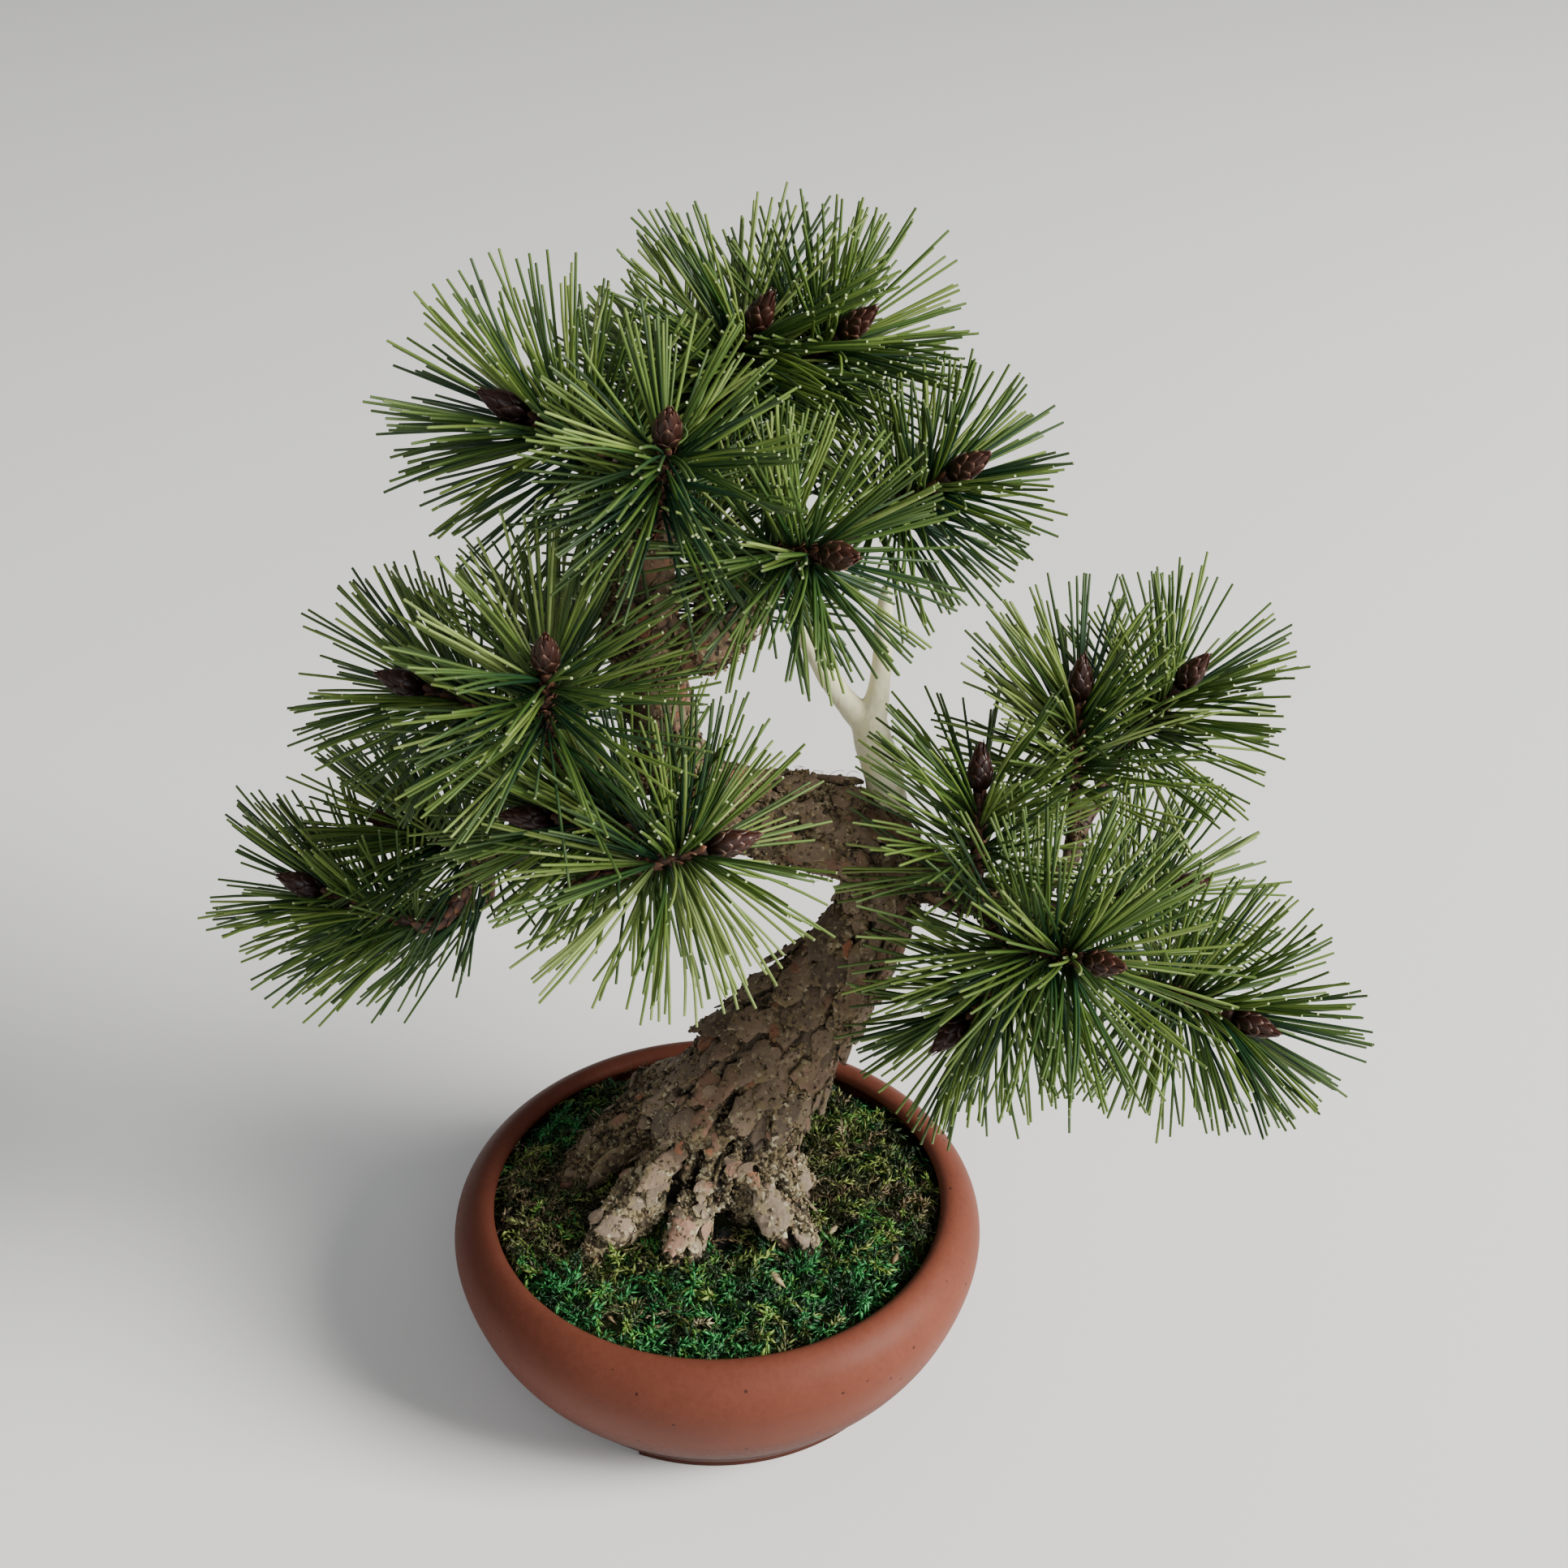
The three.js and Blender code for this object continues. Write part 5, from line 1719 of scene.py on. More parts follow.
def curled_paths(
    roots: Array, first: Array, length: Array, bend: float, rings: int, draw: Generator
) -> Array:
    """Curly heart lines that start in given directions.

    Args:
        roots: Where they start.
        first: The direction that each starts in.
        length: How long each is.
        bend: How far they turn on average, in radians.
        rings: How many points each has.
        draw: What makes each one different.

    Returns:
        The points of every line.
    """
    count = len(roots)
    share = np.linspace(0, 1, rings)
    side = unit(np.cross(first, draw.normal(size=first.shape)))
    other = np.cross(first, side)
    turn = np.abs(draw.normal(bend, bend * 0.45, (count, 1))) * share
    wobble = 0.55 * np.sin(share * draw.uniform(3, 9, (count, 1)) + draw.uniform(0, FULL_TURN, (count, 1)))
    step = np.cos(turn)[..., None] * first[:, None] + np.sin(turn)[..., None] * side[:, None]
    step = unit(step + wobble[..., None] * other[:, None]) * (length / (rings - 1))[:, None, None]
    ahead = np.cumsum(step[:, :-1], axis=1)
    return roots[:, None] + np.concatenate([np.zeros((count, 1, 3)), ahead], axis=1)


def tube_bundle(paths: Array, widths: Array, sides: int, cut: bool = False) -> Shell:
    """Thin closed tubes along many heart lines.

    Args:
        paths: The points of every line.
        widths: The radius at each point of a line.
        sides: How many sides a tube has.
        cut: Whether the far ends are flat cuts with an edge and a value of their own.

    Returns:
        The tubes, with the value "along", and "cut" where the ends are cut.
    """
    count, rings = paths.shape[:2]
    tangents = unit(np.gradient(paths, axis=1))
    side = unit(np.cross(tangents[:, :1], np.array([0.31, 0.22, 0.92])))
    side = unit(side - tangents * (side * tangents).sum(2, keepdims=True))
    over = np.cross(tangents, side)
    turn = even_turns(sides)
    out = np.cos(turn)[:, None] * side[:, :, None] + np.sin(turn)[:, None] * over[:, :, None]
    points = paths[:, :, None] + out * widths[None, :, None, None]
    grown = np.linspace(0, 1, rings)
    ended = np.zeros(rings)
    if cut:
        points = np.concatenate([points, points[:, -1:]], axis=1)
        grown, ended = np.append(grown, 1.0), np.append(ended, 1.0)
    size = len(grown) * sides
    quads = repeated(ring_quads(rings, sides), count, size)
    shell = Shell(points.reshape(-1, 3), quads, repeated(flat_caps(len(grown), sides), count, size))
    shell.tagged(along=np.tile(np.repeat(grown, sides), count))
    return shell.tagged(cut=np.tile(np.repeat(ended, sides), count)) if cut else shell


def random_turns(draw: Generator, count: int) -> Array:
    """Random rotations, as matrices."""
    quaternion = unit(draw.normal(size=(count, 4)))
    w, x, y, z = quaternion.T
    rows = [
        [1 - 2 * (y * y + z * z), 2 * (x * y - w * z), 2 * (x * z + w * y)],
        [2 * (x * y + w * z), 1 - 2 * (x * x + z * z), 2 * (y * z - w * x)],
        [2 * (x * z - w * y), 2 * (y * z + w * x), 1 - 2 * (x * x + y * y)],
    ]
    return np.array(rows).transpose(2, 0, 1)


@dataclass
class ScalyStem:
    """A stem wrapped in overlapping pointed scales: a twig, a shoot or a bud."""

    route: Route
    seed: int = 0
    pitch: float = 0.0011
    scale_length: float = 0.005
    scale_reach: float = 42.0
    lift_foot: float = 0.00005
    lift_tip: float = 0.0007
    thickness: float = 0.00025
    first: float = 0.0
    last: float = 1.0
    spread: float = 1.35

    def shell(self) -> Shell:
        """The stem with its scales."""
        tangents, normals, binormals = self.route.frames()
        steps = run_length(self.route.places)
        length = steps[-1]
        draw = default_rng(self.seed)
        count = max(3, int(length * (self.last - self.first) / self.pitch))
        share = np.linspace(self.first, self.last, count)
        foot = share * length
        turn = np.arange(count) * GOLDEN_TURN + draw.uniform(0, 0.25, count)
        reach = self.scale_length * draw.uniform(0.8, 1.15, count)
        u, v = np.meshgrid(np.linspace(-1, 1, 5), np.linspace(0, 1, 5), indexing="xy")
        taper = np.sqrt(np.clip(1 - v**self.spread, 0, 1))
        place = foot[:, None, None] + reach[:, None, None] * v
        past = np.maximum(place - length, 0)
        held = np.minimum(place, length)
        angle = turn[:, None, None] + math.radians(self.scale_reach) * u * np.maximum(taper, 0.06)

        def along(values: Array) -> Array:
            """Values of the route at the places of the scales."""
            if values.ndim == 1:
                return np.interp(held, steps, values)[..., None]
            return between(held, steps, values)

        out = np.cos(angle)[..., None] * along(normals) + np.sin(angle)[..., None] * along(binormals)
        centre = along(self.route.places) + along(tangents) * past[..., None]
        radius = along(self.route.radii) - 0.35 * past[..., None]
        curl = (self.lift_foot + (self.lift_tip - self.lift_foot) * v**1.5)[None, ..., None]
        belly = 0.22 * (1 - u**2)[None, ..., None] * self.thickness
        top = centre + out * (radius + curl + belly + self.thickness)
        under = centre + out * (radius + curl)
        rows, columns = u.shape
        size = rows * columns
        i, j = np.meshgrid(np.arange(rows - 1), np.arange(columns - 1), indexing="ij")
        here = (i * columns + j).ravel()
        face = np.stack([here, here + 1, here + columns + 1, here + columns], axis=1)
        near, right = np.arange(columns), np.arange(1, rows) * columns + columns - 1
        far, left = (rows - 1) * columns + near[-2::-1], np.arange(rows - 2, 0, -1) * columns
        rim = np.concatenate([near, right, far, left])
        after = np.roll(rim, -1)
        side = np.stack([rim + size, after + size, after, rim], axis=1)
        both = np.concatenate([face, face[:, ::-1] + size, side])
        points = np.concatenate([top.reshape(count, size, 3), under.reshape(count, size, 3)], axis=1)
        scales = Shell(points.reshape(-1, 3), repeated(both, count, 2 * size))
        grown = np.broadcast_to(np.tile(v.ravel(), 2), (count, 2 * size))
        high = np.repeat(share[:, None], 2 * size, axis=1)
        scales.tagged(along=grown.ravel(), height=np.clip(high + 0.25 * grown, 0, 1).ravel())
        core = self.route.tube(12).tagged(along=0.1, height=0.0)
        core.values["height"] = np.concatenate([np.repeat(steps / length, 12), [0.0, 1.0]])
        return joined([core, scales])


@dataclass
class Deadwood:
    """The bleached forked branch behind the bend of the trunk."""

    voxel: float = 0.0007
    smoothing: int = 10

    def build(self, material: Material) -> None:
        """Builds the dead branch on its node.

        Args:
            material: The bleached wood.
        """
        arms = [Route.through(points, 0.0015) for points in DEADWOOD]
        skin, normals = remeshed(joined([arm.tube(24) for arm in arms]), self.voxel, self.smoothing)
        drawn = skin.points * np.array([1.0, 1.0, 0.16])
        ridges = LatticeNoise(31).at(drawn, 0.0026, 2)
        dents = LatticeNoise(32).at(skin.points, 0.012, 2)
        skin.points = skin.points + normals * (0.0003 * ridges + 0.0006 * dents)[:, None]
        settle(skin.to_object("bleached_branch", material), "deadwood")


@dataclass
class NeedleSpray:
    """One spray: its needles in small bundles round a woody tip, and its bud."""

    spray: Spray
    wood: Wood
    balls: tuple[Array, Array]
    sights: tuple[Array, Array]
    sight_width: float = 0.0036
    bundles: int = 74
    bundle_sizes: tuple[int, ...] = (2, 2, 3, 3)
    radius: float = 0.00052
    bow: float = 0.0015
    fan_jitter: float = 12.0
    bundle_jitter: float = 5.5
    bare_foot: float = -0.006
    bare_head: float = 0.0035
    clearance: float = 0.0012
    rings: int = 6
    sides: int = 5
    tries: int = 14
    box_margin: float = 0.0008
    pot_top: float = 0.068
    pot_reach: float = 0.1015
    thread_radius: float = 0.00036
    bud_length: float = 0.0172
    bud_radius: float = 0.0039

    def __post_init__(self) -> None:
        """Works out the frame of the tip."""
        self.axis = self.spray.axis
        self.tip_base = np.array(self.spray.bud) - self.axis * self.wood.tip_length
        side = np.cross(self.axis, UP)
        self.across = unit(side if np.linalg.norm(side) > 0.01 else np.array([1.0, 0, 0]))
        self.beside = np.cross(self.axis, self.across)
        self.seed = 1000 + sum(ord(letter) * (place + 1) for place, letter in enumerate(self.spray.name))

    def is_free(self, line: Array) -> bool:
        """Whether a needle stays in the object's box and off the wood and the pot.

        Args:
            line: Points along the needle.

        Returns:
            True where it touches nothing.
        """
        low = np.array(CAD_BOX[0]) + self.box_margin
        high = np.array(CAD_BOX[1]) - self.box_margin
        if (line < low).any() or (line > high).any():
            return False
        out = line[2:]
        centres, radii = self.balls
        away = np.linalg.norm(out[:, None] - centres[None], axis=2) - radii
        if away.min() < self.clearance:
            return False
        wide = np.hypot(out[:, 0], out[:, 1])
        off_pot = ((out[:, 2] > self.pot_top) | (wide > self.pot_reach)).all()
        return bool(off_pot) and not self.hides_bud(line)

    def hides_bud(self, line: Array) -> bool:
        """Whether a needle runs across a bud that shows from the front."""
        starts, aims = self.sights
        steps = np.linspace(0, len(line) - 1, 24)
        delta = between(steps, np.arange(len(line)), line)[:, None] - starts
        ahead = (delta * aims).sum(2)
        away = np.linalg.norm(delta - ahead[..., None] * aims, axis=2)
        return bool(((ahead > 0) & (away < self.sight_width)).any())

    def lines(self) -> tuple[Array, Array]:
        """Heart lines of the needles, and their tones."""
        draw = default_rng(self.seed)
        share_line = np.linspace(0, 1, self.rings)
        found, tones = [], []
        bundles = round(self.bundles * self.spray.fullness)
        for index in range(bundles):
            share = (index + 0.5) / bundles
            turn0 = index * GOLDEN_TURN + draw.normal(0, 0.2)
            lean0 = self.spray.fan[0] + (self.spray.fan[1] - self.spray.fan[0]) * share
            lean0 += draw.uniform(-1, 1) * self.fan_jitter
            tone0 = np.clip(draw.normal(0.53, 0.28), 0.02, 0.98)
            bend0 = draw.uniform(-0.2, 1.0)
            for _ in range(draw.choice(self.bundle_sizes)):
                for attempt in range(self.tries):
                    wider = 1 + attempt / 5
                    turn = turn0 + math.radians(draw.normal(0, self.bundle_jitter * wider))
                    lean = math.radians(lean0 + draw.normal(0, self.bundle_jitter * wider))
                    length = draw.uniform(*self.spray.reach)
                    out = math.cos(turn) * self.across + math.sin(turn) * self.beside
                    heading = math.cos(lean) * self.axis + math.sin(lean) * out
                    gather = self.spray.gather
                    part = gather + (1 - gather) * share**0.8
                    rise = self.bare_foot + part * (self.wood.tip_length - self.bare_foot - self.bare_head)
                    root = self.tip_base + self.axis * rise + out * self.wood.tip_radius * 0.55
                    bulge = unit(self.axis - heading * np.dot(self.axis, heading))
                    bow = self.bow * (bend0 + draw.normal(0, 0.35))
                    curve = 4 * share_line * (1 - share_line)
                    line = root + heading * (share_line * length)[:, None] + bulge * (bow * curve)[:, None]
                    if self.is_free(line):
                        found.append(line)
                        # Painted shade: needles that point downwards darken by the spray's shade; a
                        # negative shade paints them lighter.
                        needle_painted_shade = self.spray.shade * smoothstep(0.62 - 0.75 * heading[2])
                        tones.append(np.clip(tone0 - needle_painted_shade + draw.normal(0, 0.1), 0, 1))
                        break
        return np.array(found), np.array(tones)

    def needles(self, material: Material) -> None:
        """Builds the needles of the spray on their node.

        Args:
            material: The needles' finish.
        """
        lines, tones = self.lines()
        share = np.linspace(0, 1, self.rings)
        widths = self.radius * np.interp(share, [0, 0.12, 0.8, 1], [0.8, 1, 1, 0.88])
        shell = tube_bundle(lines, widths, self.sides, cut=True)
        shell.tagged(tone=np.repeat(tones, (self.rings + 1) * self.sides))
        if self.spray.name == THREADED:
            shell = joined([shell, self.thread()])
        piece = shell.to_object(f"spray_{self.spray.name}", material)
        settle(piece, f"needles_{self.spray.name}")

    def thread(self) -> Shell:
        """The curl of green thread that hangs round the foot of the bud."""
        flat = np.array(THREAD) * 0.001
        side, rise, ahead = np.array([1.0, 0, 0]), np.array([0, 0.517, 0.856]), np.array([0, -0.856, 0.517])
        knots = np.array(self.spray.bud) + flat[:, :1] * side + flat[:, 1:] * rise + 0.0052 * ahead
        route = Route.through([(*knot, self.thread_radius) for knot in knots], 0.0005)
        shell = tube_bundle(route.places[None], route.radii, 6, cut=True)
        return shell.tagged(tone=0.62)

    def shoot(self, material: Material) -> None:
        """Builds the scaly woody tip that the needles stand on, on the spray's node.

        Args:
            material: The shoot's finish.
        """
        radius = self.wood.tip_radius
        end = np.array(self.spray.bud)
        foot = self.tip_base - self.axis * 0.001
        middle = (foot + end) / 2
        ends = radius * (0.5 if self.spray.budless else 0.85)
        route = Route.through([(*foot, radius * 0.85), (*middle, radius), (*end, ends)], 0.0015)
        stem = ScalyStem(route, self.seed, pitch=0.0008, scale_length=0.0055, lift_tip=0.0011, last=0.9)
        piece = stem.shell().to_object(f"shoot_{self.spray.name}", material)
        settle(piece, f"needles_{self.spray.name}")

    def bud(self, material: Material) -> None:
        """Builds the scaly end bud on its node.

        Args:
            material: The bud scales' finish.
        """
        share = np.linspace(0.0, 1.0, 22)
        swell = np.sin(math.pi * np.clip(share, 0.02, 0.95) ** 0.68) ** 0.8
        radii = self.bud_radius * np.maximum(swell, 0.06)
        places = np.array(self.spray.bud) + self.axis * (share * self.bud_length)[:, None]
        stem = ScalyStem(
            Route(places, radii), self.seed + 7, pitch=0.00052, scale_length=0.0056, scale_reach=40.0,
            lift_tip=0.00040, thickness=0.00028, last=0.74, spread=2.2,
        )
        piece = stem.shell().to_object(f"scaled_bud_{self.spray.name}", material)
        settle(piece, f"bud_{self.spray.name}")


@dataclass
class MossMat:
    """The mat of curly moss: tufts of leafy sprigs on a low mound in painted shade, with straw and chips in
    it.
    """

    wood: Wood
    crown: float = 0.0592
    edge: float = 0.0545
    radius: float = 0.0865
    tufts: int = 420
    sprig_count: int = 3200
    sprig_rings: int = 10
    leaf_count: int = 18
    straw_count: int = 14
    chip_count: int = 16
    parts: int = 4
    seed: int = 3
    pit: Place = (0.0026, -0.0248, 0.0084)
    mound_reach: float = 0.0885
    underside: float = 0.0503
    wall_reach: float = 0.0893
    lip_reach: float = 0.0815
    lip_height: float = 0.0585
    stem_radius: float = 0.00034
    straw_radius: float = 0.00026
    first_leaf: float = 0.12
    sprig_height: float = 0.0036

    def surface(self, x: Array, y: Array) -> Array:
        """The height of the mound at places on the plan."""
        share = np.clip(np.hypot(x, y) / self.radius, 0, 1)
        flat = np.stack([x, y, 0 * x], axis=-1)
        lumps = LatticeNoise(41).at(flat.reshape(-1, 3), 0.022, 2).reshape(x.shape)
        tufts = LatticeNoise(42).at(flat.reshape(-1, 3), 0.008, 2).reshape(x.shape)
        height = self.crown + (self.edge - self.crown) * share**3 + 0.0020 * lumps + 0.0026 * tufts
        return height - 0.004 * self.shrunk(x, y) - 0.0080 * smoothstep(1.5 - self.pit_reach(x, y))

    def pit_reach(self, x: Array, y: Array) -> Array:
        """How far places lie from the middle of the pit under the roots, as shares of its radius."""
        return np.hypot(x - self.pit[0], y - self.pit[1]) / self.pit[2]

    def shrunk(self, x: Array, y: Array) -> Array:
        """How far the moss has shrunk from the wall, from 0 to 1: most at the right."""
        right = smoothstep(x / self.radius + 0.25)
        return smoothstep((np.hypot(x, y) - self.radius + 0.0030 + 0.0065 * right) / 0.004)

    def mound(self) -> Shell:
        """The mound under the sprigs, dark with painted shade."""
        rings, sides = 60, 180
        reach = np.linspace(0.002, self.mound_reach, rings)
        turn = even_turns(sides)
        x, y = reach[:, None] * np.cos(turn), reach[:, None] * np.sin(turn)
        z = np.maximum(self.surface(x, y) - 0.0012, self.underside + 0.0005)
        z[-1] = self.underside
        top = np.stack([x, y, z], axis=-1).reshape(-1, 3)
        points = np.concatenate([top, [[0, 0, z[0].mean()], [0, 0, self.underside]]])
        shell = Shell(points, ring_quads(rings, sides)[:, ::-1], hub_caps(rings, sides)[:, ::-1])
        # Painted shade: the mound is dark, darkest in the pit under the roots.
        pit = smoothstep(2.0 - self.pit_reach(points[:, 0], points[:, 1]))
        return shell.tagged(tone=0.62, depth=0.82 + 0.18 * pit)

    def places(self, draw: Generator) -> tuple[Array, Array]:
        """Where the sprigs root, close round the middles of the tufts but not in the wood.

        Args:
            draw: What makes each one different.

        Returns:
            The roots, and the tuft that each belongs to.
        """
        order = np.arange(self.tufts)
        reach = self.radius * np.sqrt((order + 0.5) / self.tufts) + draw.normal(0, 0.0012, self.tufts)
        turn = order * GOLDEN_TURN + draw.normal(0, 0.04, self.tufts)
        middles = reach[:, None] * ways(turn)
        tuft = draw.integers(0, self.tufts, self.sprig_count)
        spot = middles[tuft] + draw.normal(0, 0.0036, (self.sprig_count, 2))
        x, y = spot.T
        points = np.column_stack([x, y, self.surface(x, y)])
        centres, radii = self.wood.obstacles()
        away = np.linalg.norm(points[:, None] - centres[None], axis=2) - radii
        kept = (away.min(1) > -0.0005) & (draw.random(len(x)) > 0.9 * self.shrunk(x, y))
        kept &= (np.hypot(x, y) < self.radius) & (self.pit_reach(x, y) > 0.9)
        return points[kept], tuft[kept]

    def tone(self, points: Array, tuft: Array, draw: Generator) -> Array:
        """The colour of each sprig: green at the front, olive to brown elsewhere, a few of straw.

        Args:
            points: The roots of the sprigs.
            tuft: Their tufts.
            draw: What makes each one different.

        Returns:
            A tone from 0 to 1 for each sprig.
        """
        drift = LatticeNoise(43).at(points, 0.024, 2)
        front = smoothstep((-points[:, 1] - 0.004) / 0.05) + 0.25 * smoothstep(points[:, 0] / 0.05)
        back_left = smoothstep((points[:, 1] - 0.01) / 0.03) * smoothstep(-points[:, 0] / 0.03)
        shared = draw.normal(0, 0.17, self.tufts)[tuft]
        tone = 0.68 - 0.44 * front - 0.4 * back_left + 0.38 * drift + shared
        tone += draw.normal(0, 0.09, len(points))
        straw = draw.random(len(points)) < 0.03
        return np.where(straw, 1.0, np.clip(tone, 0.0, 0.9))

    def held(self, paths: Array) -> Array:
        """The lines, kept off the wall of the pot and under its lip."""
        wide = np.hypot(paths[..., 0], paths[..., 1])
        kept = paths.copy()
        kept[..., :2] *= np.minimum(1, self.wall_reach / np.maximum(wide, 1e-6))[..., None]
        lipped = (wide > self.lip_reach) & (kept[..., 2] > self.lip_height)
        kept[..., 2] = np.where(lipped, self.lip_height, kept[..., 2])
        return kept

    def sprigs(self) -> list[Shell]:
        """The leafy sprigs, in several shells."""
        draw = default_rng(self.seed)
        roots, tuft = self.places(draw)
        count = len(roots)
        heading = draw.uniform(0, FULL_TURN, self.tufts)[tuft] + draw.normal(0, 1.0, count)
        rise = draw.uniform(0.2, 1.5, count)
        first = np.column_stack([ways(heading) * np.cos(rise)[:, None], np.sin(rise)])
        length = draw.uniform(0.009, 0.021, count)
        paths = curled_paths(roots - UP * 0.001, first, length, 3.2, self.sprig_rings, draw)
        high = paths[..., 2] - roots[:, None, 2]
        bent = self.sprig_height + 0.5 * (high - self.sprig_height)
        paths[..., 2] = roots[:, None, 2] + np.where(high > self.sprig_height, bent, high)
        paths[..., 2] = np.maximum(paths[..., 2], roots[:, None, 2] - 0.001)
        paths = self.held(paths)
        tone = self.tone(roots, tuft, draw)
        size = draw.uniform(0.75, 1.3, count)
        dim = 0.90 * smoothstep(draw.random(count) * 1.8 - 0.38)
        made = []
        for part in np.array_split(np.arange(count), self.parts):
            share = np.linspace(0, 1, self.sprig_rings)
            widths = self.stem_radius * np.interp(share, [0, 0.7, 1], [1, 0.9, 0.35])
            stems = tube_bundle(paths[part], widths, 3)
            points = self.sprig_rings * 3
            # Painted shade at the foot of each stem, or the sprig's random darkness.
            depth = np.maximum(0.85 * (1 - stems.values["along"]) ** 1.5, np.repeat(dim[part], points))
            stems.tagged(tone=np.repeat(tone[part], points), depth=depth)
            made.append(joined([stems, self.leaves(paths[part], tone[part], size[part], dim[part], draw)]))
        return made

    def leaves(self, paths: Array, tone: Array, size: Array, dim: Array, draw: Generator) -> Shell:
        """Small pointed leaves along every sprig, each a slim closed spindle.

        Args:
            paths: The sprigs' heart lines.
            tone: Their tones.
            size: How large the leaves of each are.
            dim: How dark each is.
            draw: What makes each one different.

        Returns:
            All the leaves in one shell.
        """
        count, number = len(paths), self.leaf_count
        tangents = unit(np.gradient(paths, axis=1))
        share = np.linspace(self.first_leaf, 1.0, number)
        place = share * (self.sprig_rings - 1)
        low = np.minimum(place.astype(int), self.sprig_rings - 2)
        part = (place - low)[None, :, None]
        root = paths[:, low] * (1 - part) + paths[:, low + 1] * part
        forward = tangents[:, low]
        turn = np.arange(number) * GOLDEN_TURN + draw.uniform(0, FULL_TURN, (count, 1))
        side = unit(np.cross(forward, UP + 0.05))
        over = np.cross(side, forward)
        out = np.cos(turn)[..., None] * side + np.sin(turn)[..., None] * over
        heading = unit(forward + draw.uniform(0.35, 0.95, (count, number, 1)) * out)
        across = unit(np.cross(heading, forward))
        up = np.cross(across, heading)
        long = size[:, None, None] * draw.uniform(0.0024, 0.0044, (count, number, 1))
        wide = 0.17 * long
        middle = root + heading * long * 0.42
        belly = [middle + across * wide, middle + up * wide * 0.4, middle - across * wide]
        points = self.held(np.stack([root, *belly, root + heading * long], axis=2))
        faces = np.array([(0, 1, 2), (0, 2, 3), (0, 3, 1), (4, 2, 1), (4, 3, 2), (4, 1, 3)])[:, ::-1]
        total = count * number
        shell = Shell(points.reshape(-1, 3), tris=repeated(faces, total, 5))
        shade = np.clip(np.repeat(tone, number) + draw.normal(0, 0.05, total), 0, 1)
        # Painted shade at the foot of each sprig's leaves, or the sprig's random darkness.
        deep = np.tile(0.85 * (1 - share) ** 1.5, count)
        deep = np.maximum(deep, np.repeat(dim, number))
        return shell.tagged(tone=np.repeat(shade, 5), depth=np.repeat(deep, 5))

    def litter(self) -> Shell:
        """Straws and chips of bark that lie on the moss."""
        draw = default_rng(self.seed + 1)
        count = self.straw_count + self.chip_count
        turn = draw.uniform(0, FULL_TURN, count)
        reach = draw.uniform(0.045, 0.074, count)
        x, y = (reach[:, None] * ways(turn)).T
        spot = np.column_stack([x, y, self.surface(x, y) + 0.0042])
        flat = draw.uniform(0, FULL_TURN, count)
        first = np.column_stack([ways(flat), draw.uniform(-0.25, 0.15, count)])
        straws, chips = np.arange(self.straw_count), np.arange(self.straw_count, count)
        for place, chip in enumerate(LAID_CHIPS):
            x, y = chip[:2]
            spot[self.straw_count + place] = (x, y, self.surface(np.array([x]), np.array([y]))[0] + 0.0046)
            first[self.straw_count + place] = (*chip[2:4], -0.06)
        length = draw.uniform(0.007, 0.015, self.straw_count)
        lines = self.held(curled_paths(spot[straws], unit(first[straws]), length, 0.5, 8, draw))
        straw = tube_bundle(lines, self.straw_radius * np.linspace(1, 0.6, 8), 4)
        straw.tagged(tone=1.0, depth=0.0)
        along = unit(first[chips])
        across = unit(np.cross(along, UP))
        frames = np.stack([along, across, np.cross(across, along)], axis=2)
        size = np.column_stack([draw.uniform(lo, hi, self.chip_count) for lo, hi in CHIP_SIZES])
        size[: len(LAID_CHIPS)] = [chip[4:] for chip in LAID_CHIPS]
        ragged = draw.uniform(0.7, 1.2, (self.chip_count, 6, 1))
        chip = shard_shell(self.held(shards(size[:, None], ragged, frames) + spot[chips][:, None]))
        bright = draw.uniform(0.86, 0.98, self.chip_count)
        bright[0] = 0.95
        return joined([straw, chip.tagged(tone=np.repeat(bright, 6), depth=0.0)])

    def build(self, material: Material) -> None:
        """Builds the mound, its sprigs and its litter on the node of the moss.

        Args:
            material: The moss.
        """
        pieces = [self.mound().to_object("moss_mound", material)]
        for index, shell in enumerate(self.sprigs()):
            pieces.append(shell.to_object(f"moss_sprigs_{index + 1}", material))
        pieces.append(self.litter().to_object("moss_litter", material))
        for piece in pieces:
            settle(piece, "moss")


# ---- Studio ----


@dataclass(frozen=True)
class SoftLamp:
    """A square studio lamp that faces a point."""

    name: str
    place: Place
    power: float
    width: float
    colour: Rgb = (1.0, 1.0, 1.0)
    target: Place = (0.0, 0.0, 0.2)

    def build(self) -> None:
        """Hangs the lamp."""
        lamp = bpy.data.lights.new(self.name, "AREA")
        lamp.energy = self.power
        lamp.size = self.width
        lamp.color = self.colour
        made = bpy.data.objects.new(self.name, lamp)
        made.location = self.place
        facing = Vector(self.target) - Vector(self.place)
        made.rotation_euler = facing.to_track_quat("-Z", "Y").to_euler()
        bpy.context.scene.collection.objects.link(made)


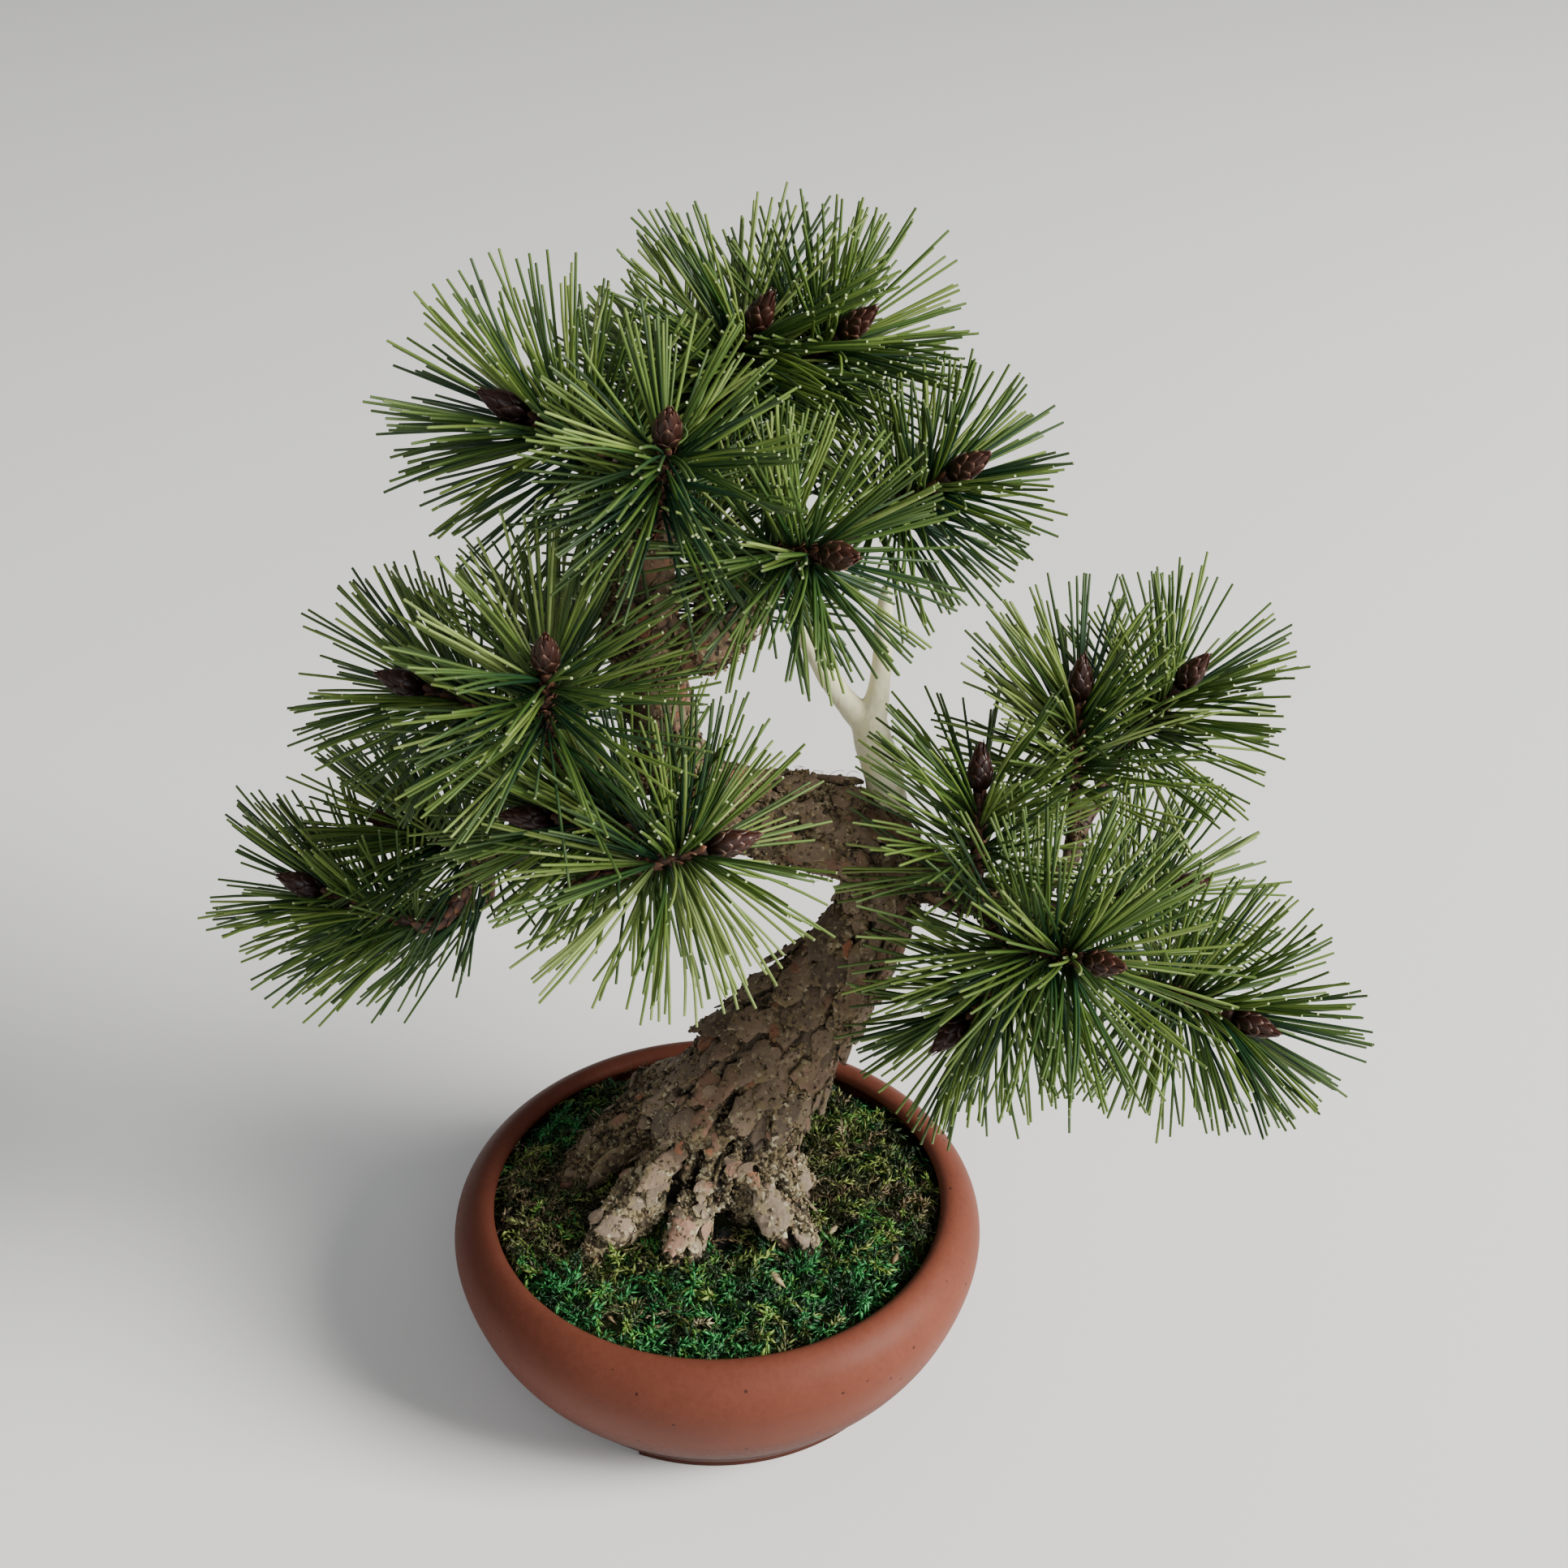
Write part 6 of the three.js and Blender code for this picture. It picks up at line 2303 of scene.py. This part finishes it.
@dataclass
class Studio:
    """Camera, floor and light. The camera's focal length is in pixels of a frame 1932 wide."""

    frame_width: float = 1932.0
    focal: float = 2588.979
    sensor: float = 36.0
    pitch: float = 31.168
    roll: float = 0.5436
    place: Place = VIEWPOINT
    floor_width: float = 30.0
    sky: Rgb = (0.93, 0.96, 1.0)
    sky_strength: float = 0.32
    lamps: tuple[SoftLamp, ...] = (
        SoftLamp("key", (4.2, -1.4, 2.7), 680.0, 2.2, (1.0, 0.985, 0.95)),
        SoftLamp("front", (0.3, -2.8, 1.7), 26.0, 2.0, (0.97, 0.98, 1.0)),
    )

    def camera(self) -> None:
        """Sets up the camera, at the angle from which the tree was trained to be seen."""
        lens = bpy.data.cameras.new("camera")
        lens.lens = self.focal * self.sensor / self.frame_width
        lens.sensor_width = self.sensor
        made = bpy.data.objects.new("camera", lens)
        tilt = Matrix.Rotation(math.radians(90 - self.pitch), 4, "X")
        turn = Matrix.Rotation(math.radians(self.roll), 4, "Z")
        made.matrix_world = Matrix.Translation(self.place) @ tilt @ turn
        bpy.context.scene.collection.objects.link(made)
        bpy.context.scene.camera = made

    def floor(self, material: Material) -> None:
        """Lays the floor.

        Args:
            material: Its finish.
        """
        half = self.floor_width / 2
        corners = np.array([(-half, -half, 0), (half, -half, 0), (half, half, 0), (-half, half, 0)])
        Shell(corners, np.array([[0, 1, 2, 3]])).to_object("floor", material)

    def light(self) -> None:
        """Sets up the sky and the lamps."""
        world = bpy.data.worlds.new("studio")
        world.use_nodes = True
        ground = world.node_tree.nodes["Background"]
        ground.inputs["Color"].default_value = (*self.sky, 1.0)
        ground.inputs["Strength"].default_value = self.sky_strength
        bpy.context.scene.world = world
        for lamp in self.lamps:
            lamp.build()


def dress_soil(material: Material) -> None:
    """Gives the soil's own node its finish.

    Args:
        material: The soil.
    """
    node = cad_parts["soil"]
    node.data.materials.clear()
    node.data.materials.append(material)


def main() -> None:
    """Builds the tree, its pot and the studio."""
    logging.basicConfig(level=logging.INFO, format="%(name)s %(message)s")
    effects = Effects()
    studio = Studio()
    studio.camera()
    studio.floor(FloorFinish().build(effects))
    studio.light()

    wood = Wood()
    shoot_finish = ShootFinish().build(effects)
    needle_finish = NeedleFinish().build(effects)
    bud_finish = BudFinish().build(effects)

    BonsaiPot().build(ClayFinish().build(effects))
    dress_soil(SoilFinish().build(effects))
    MossMat(wood).build(MossFinish().build(effects))
    BarkedWood(wood).build(BarkFinish().build(effects), shoot_finish)
    Deadwood().build(BleachedFinish().build(effects))
    balls, sights = wood.obstacles(), wood.sights()
    for spray in SPRAYS:
        cluster = NeedleSpray(spray, wood, balls, sights)
        cluster.needles(needle_finish)
        cluster.shoot(shoot_finish)
        if not spray.budless:
            cluster.bud(bud_finish)


if __name__ == "__main__":
    main()
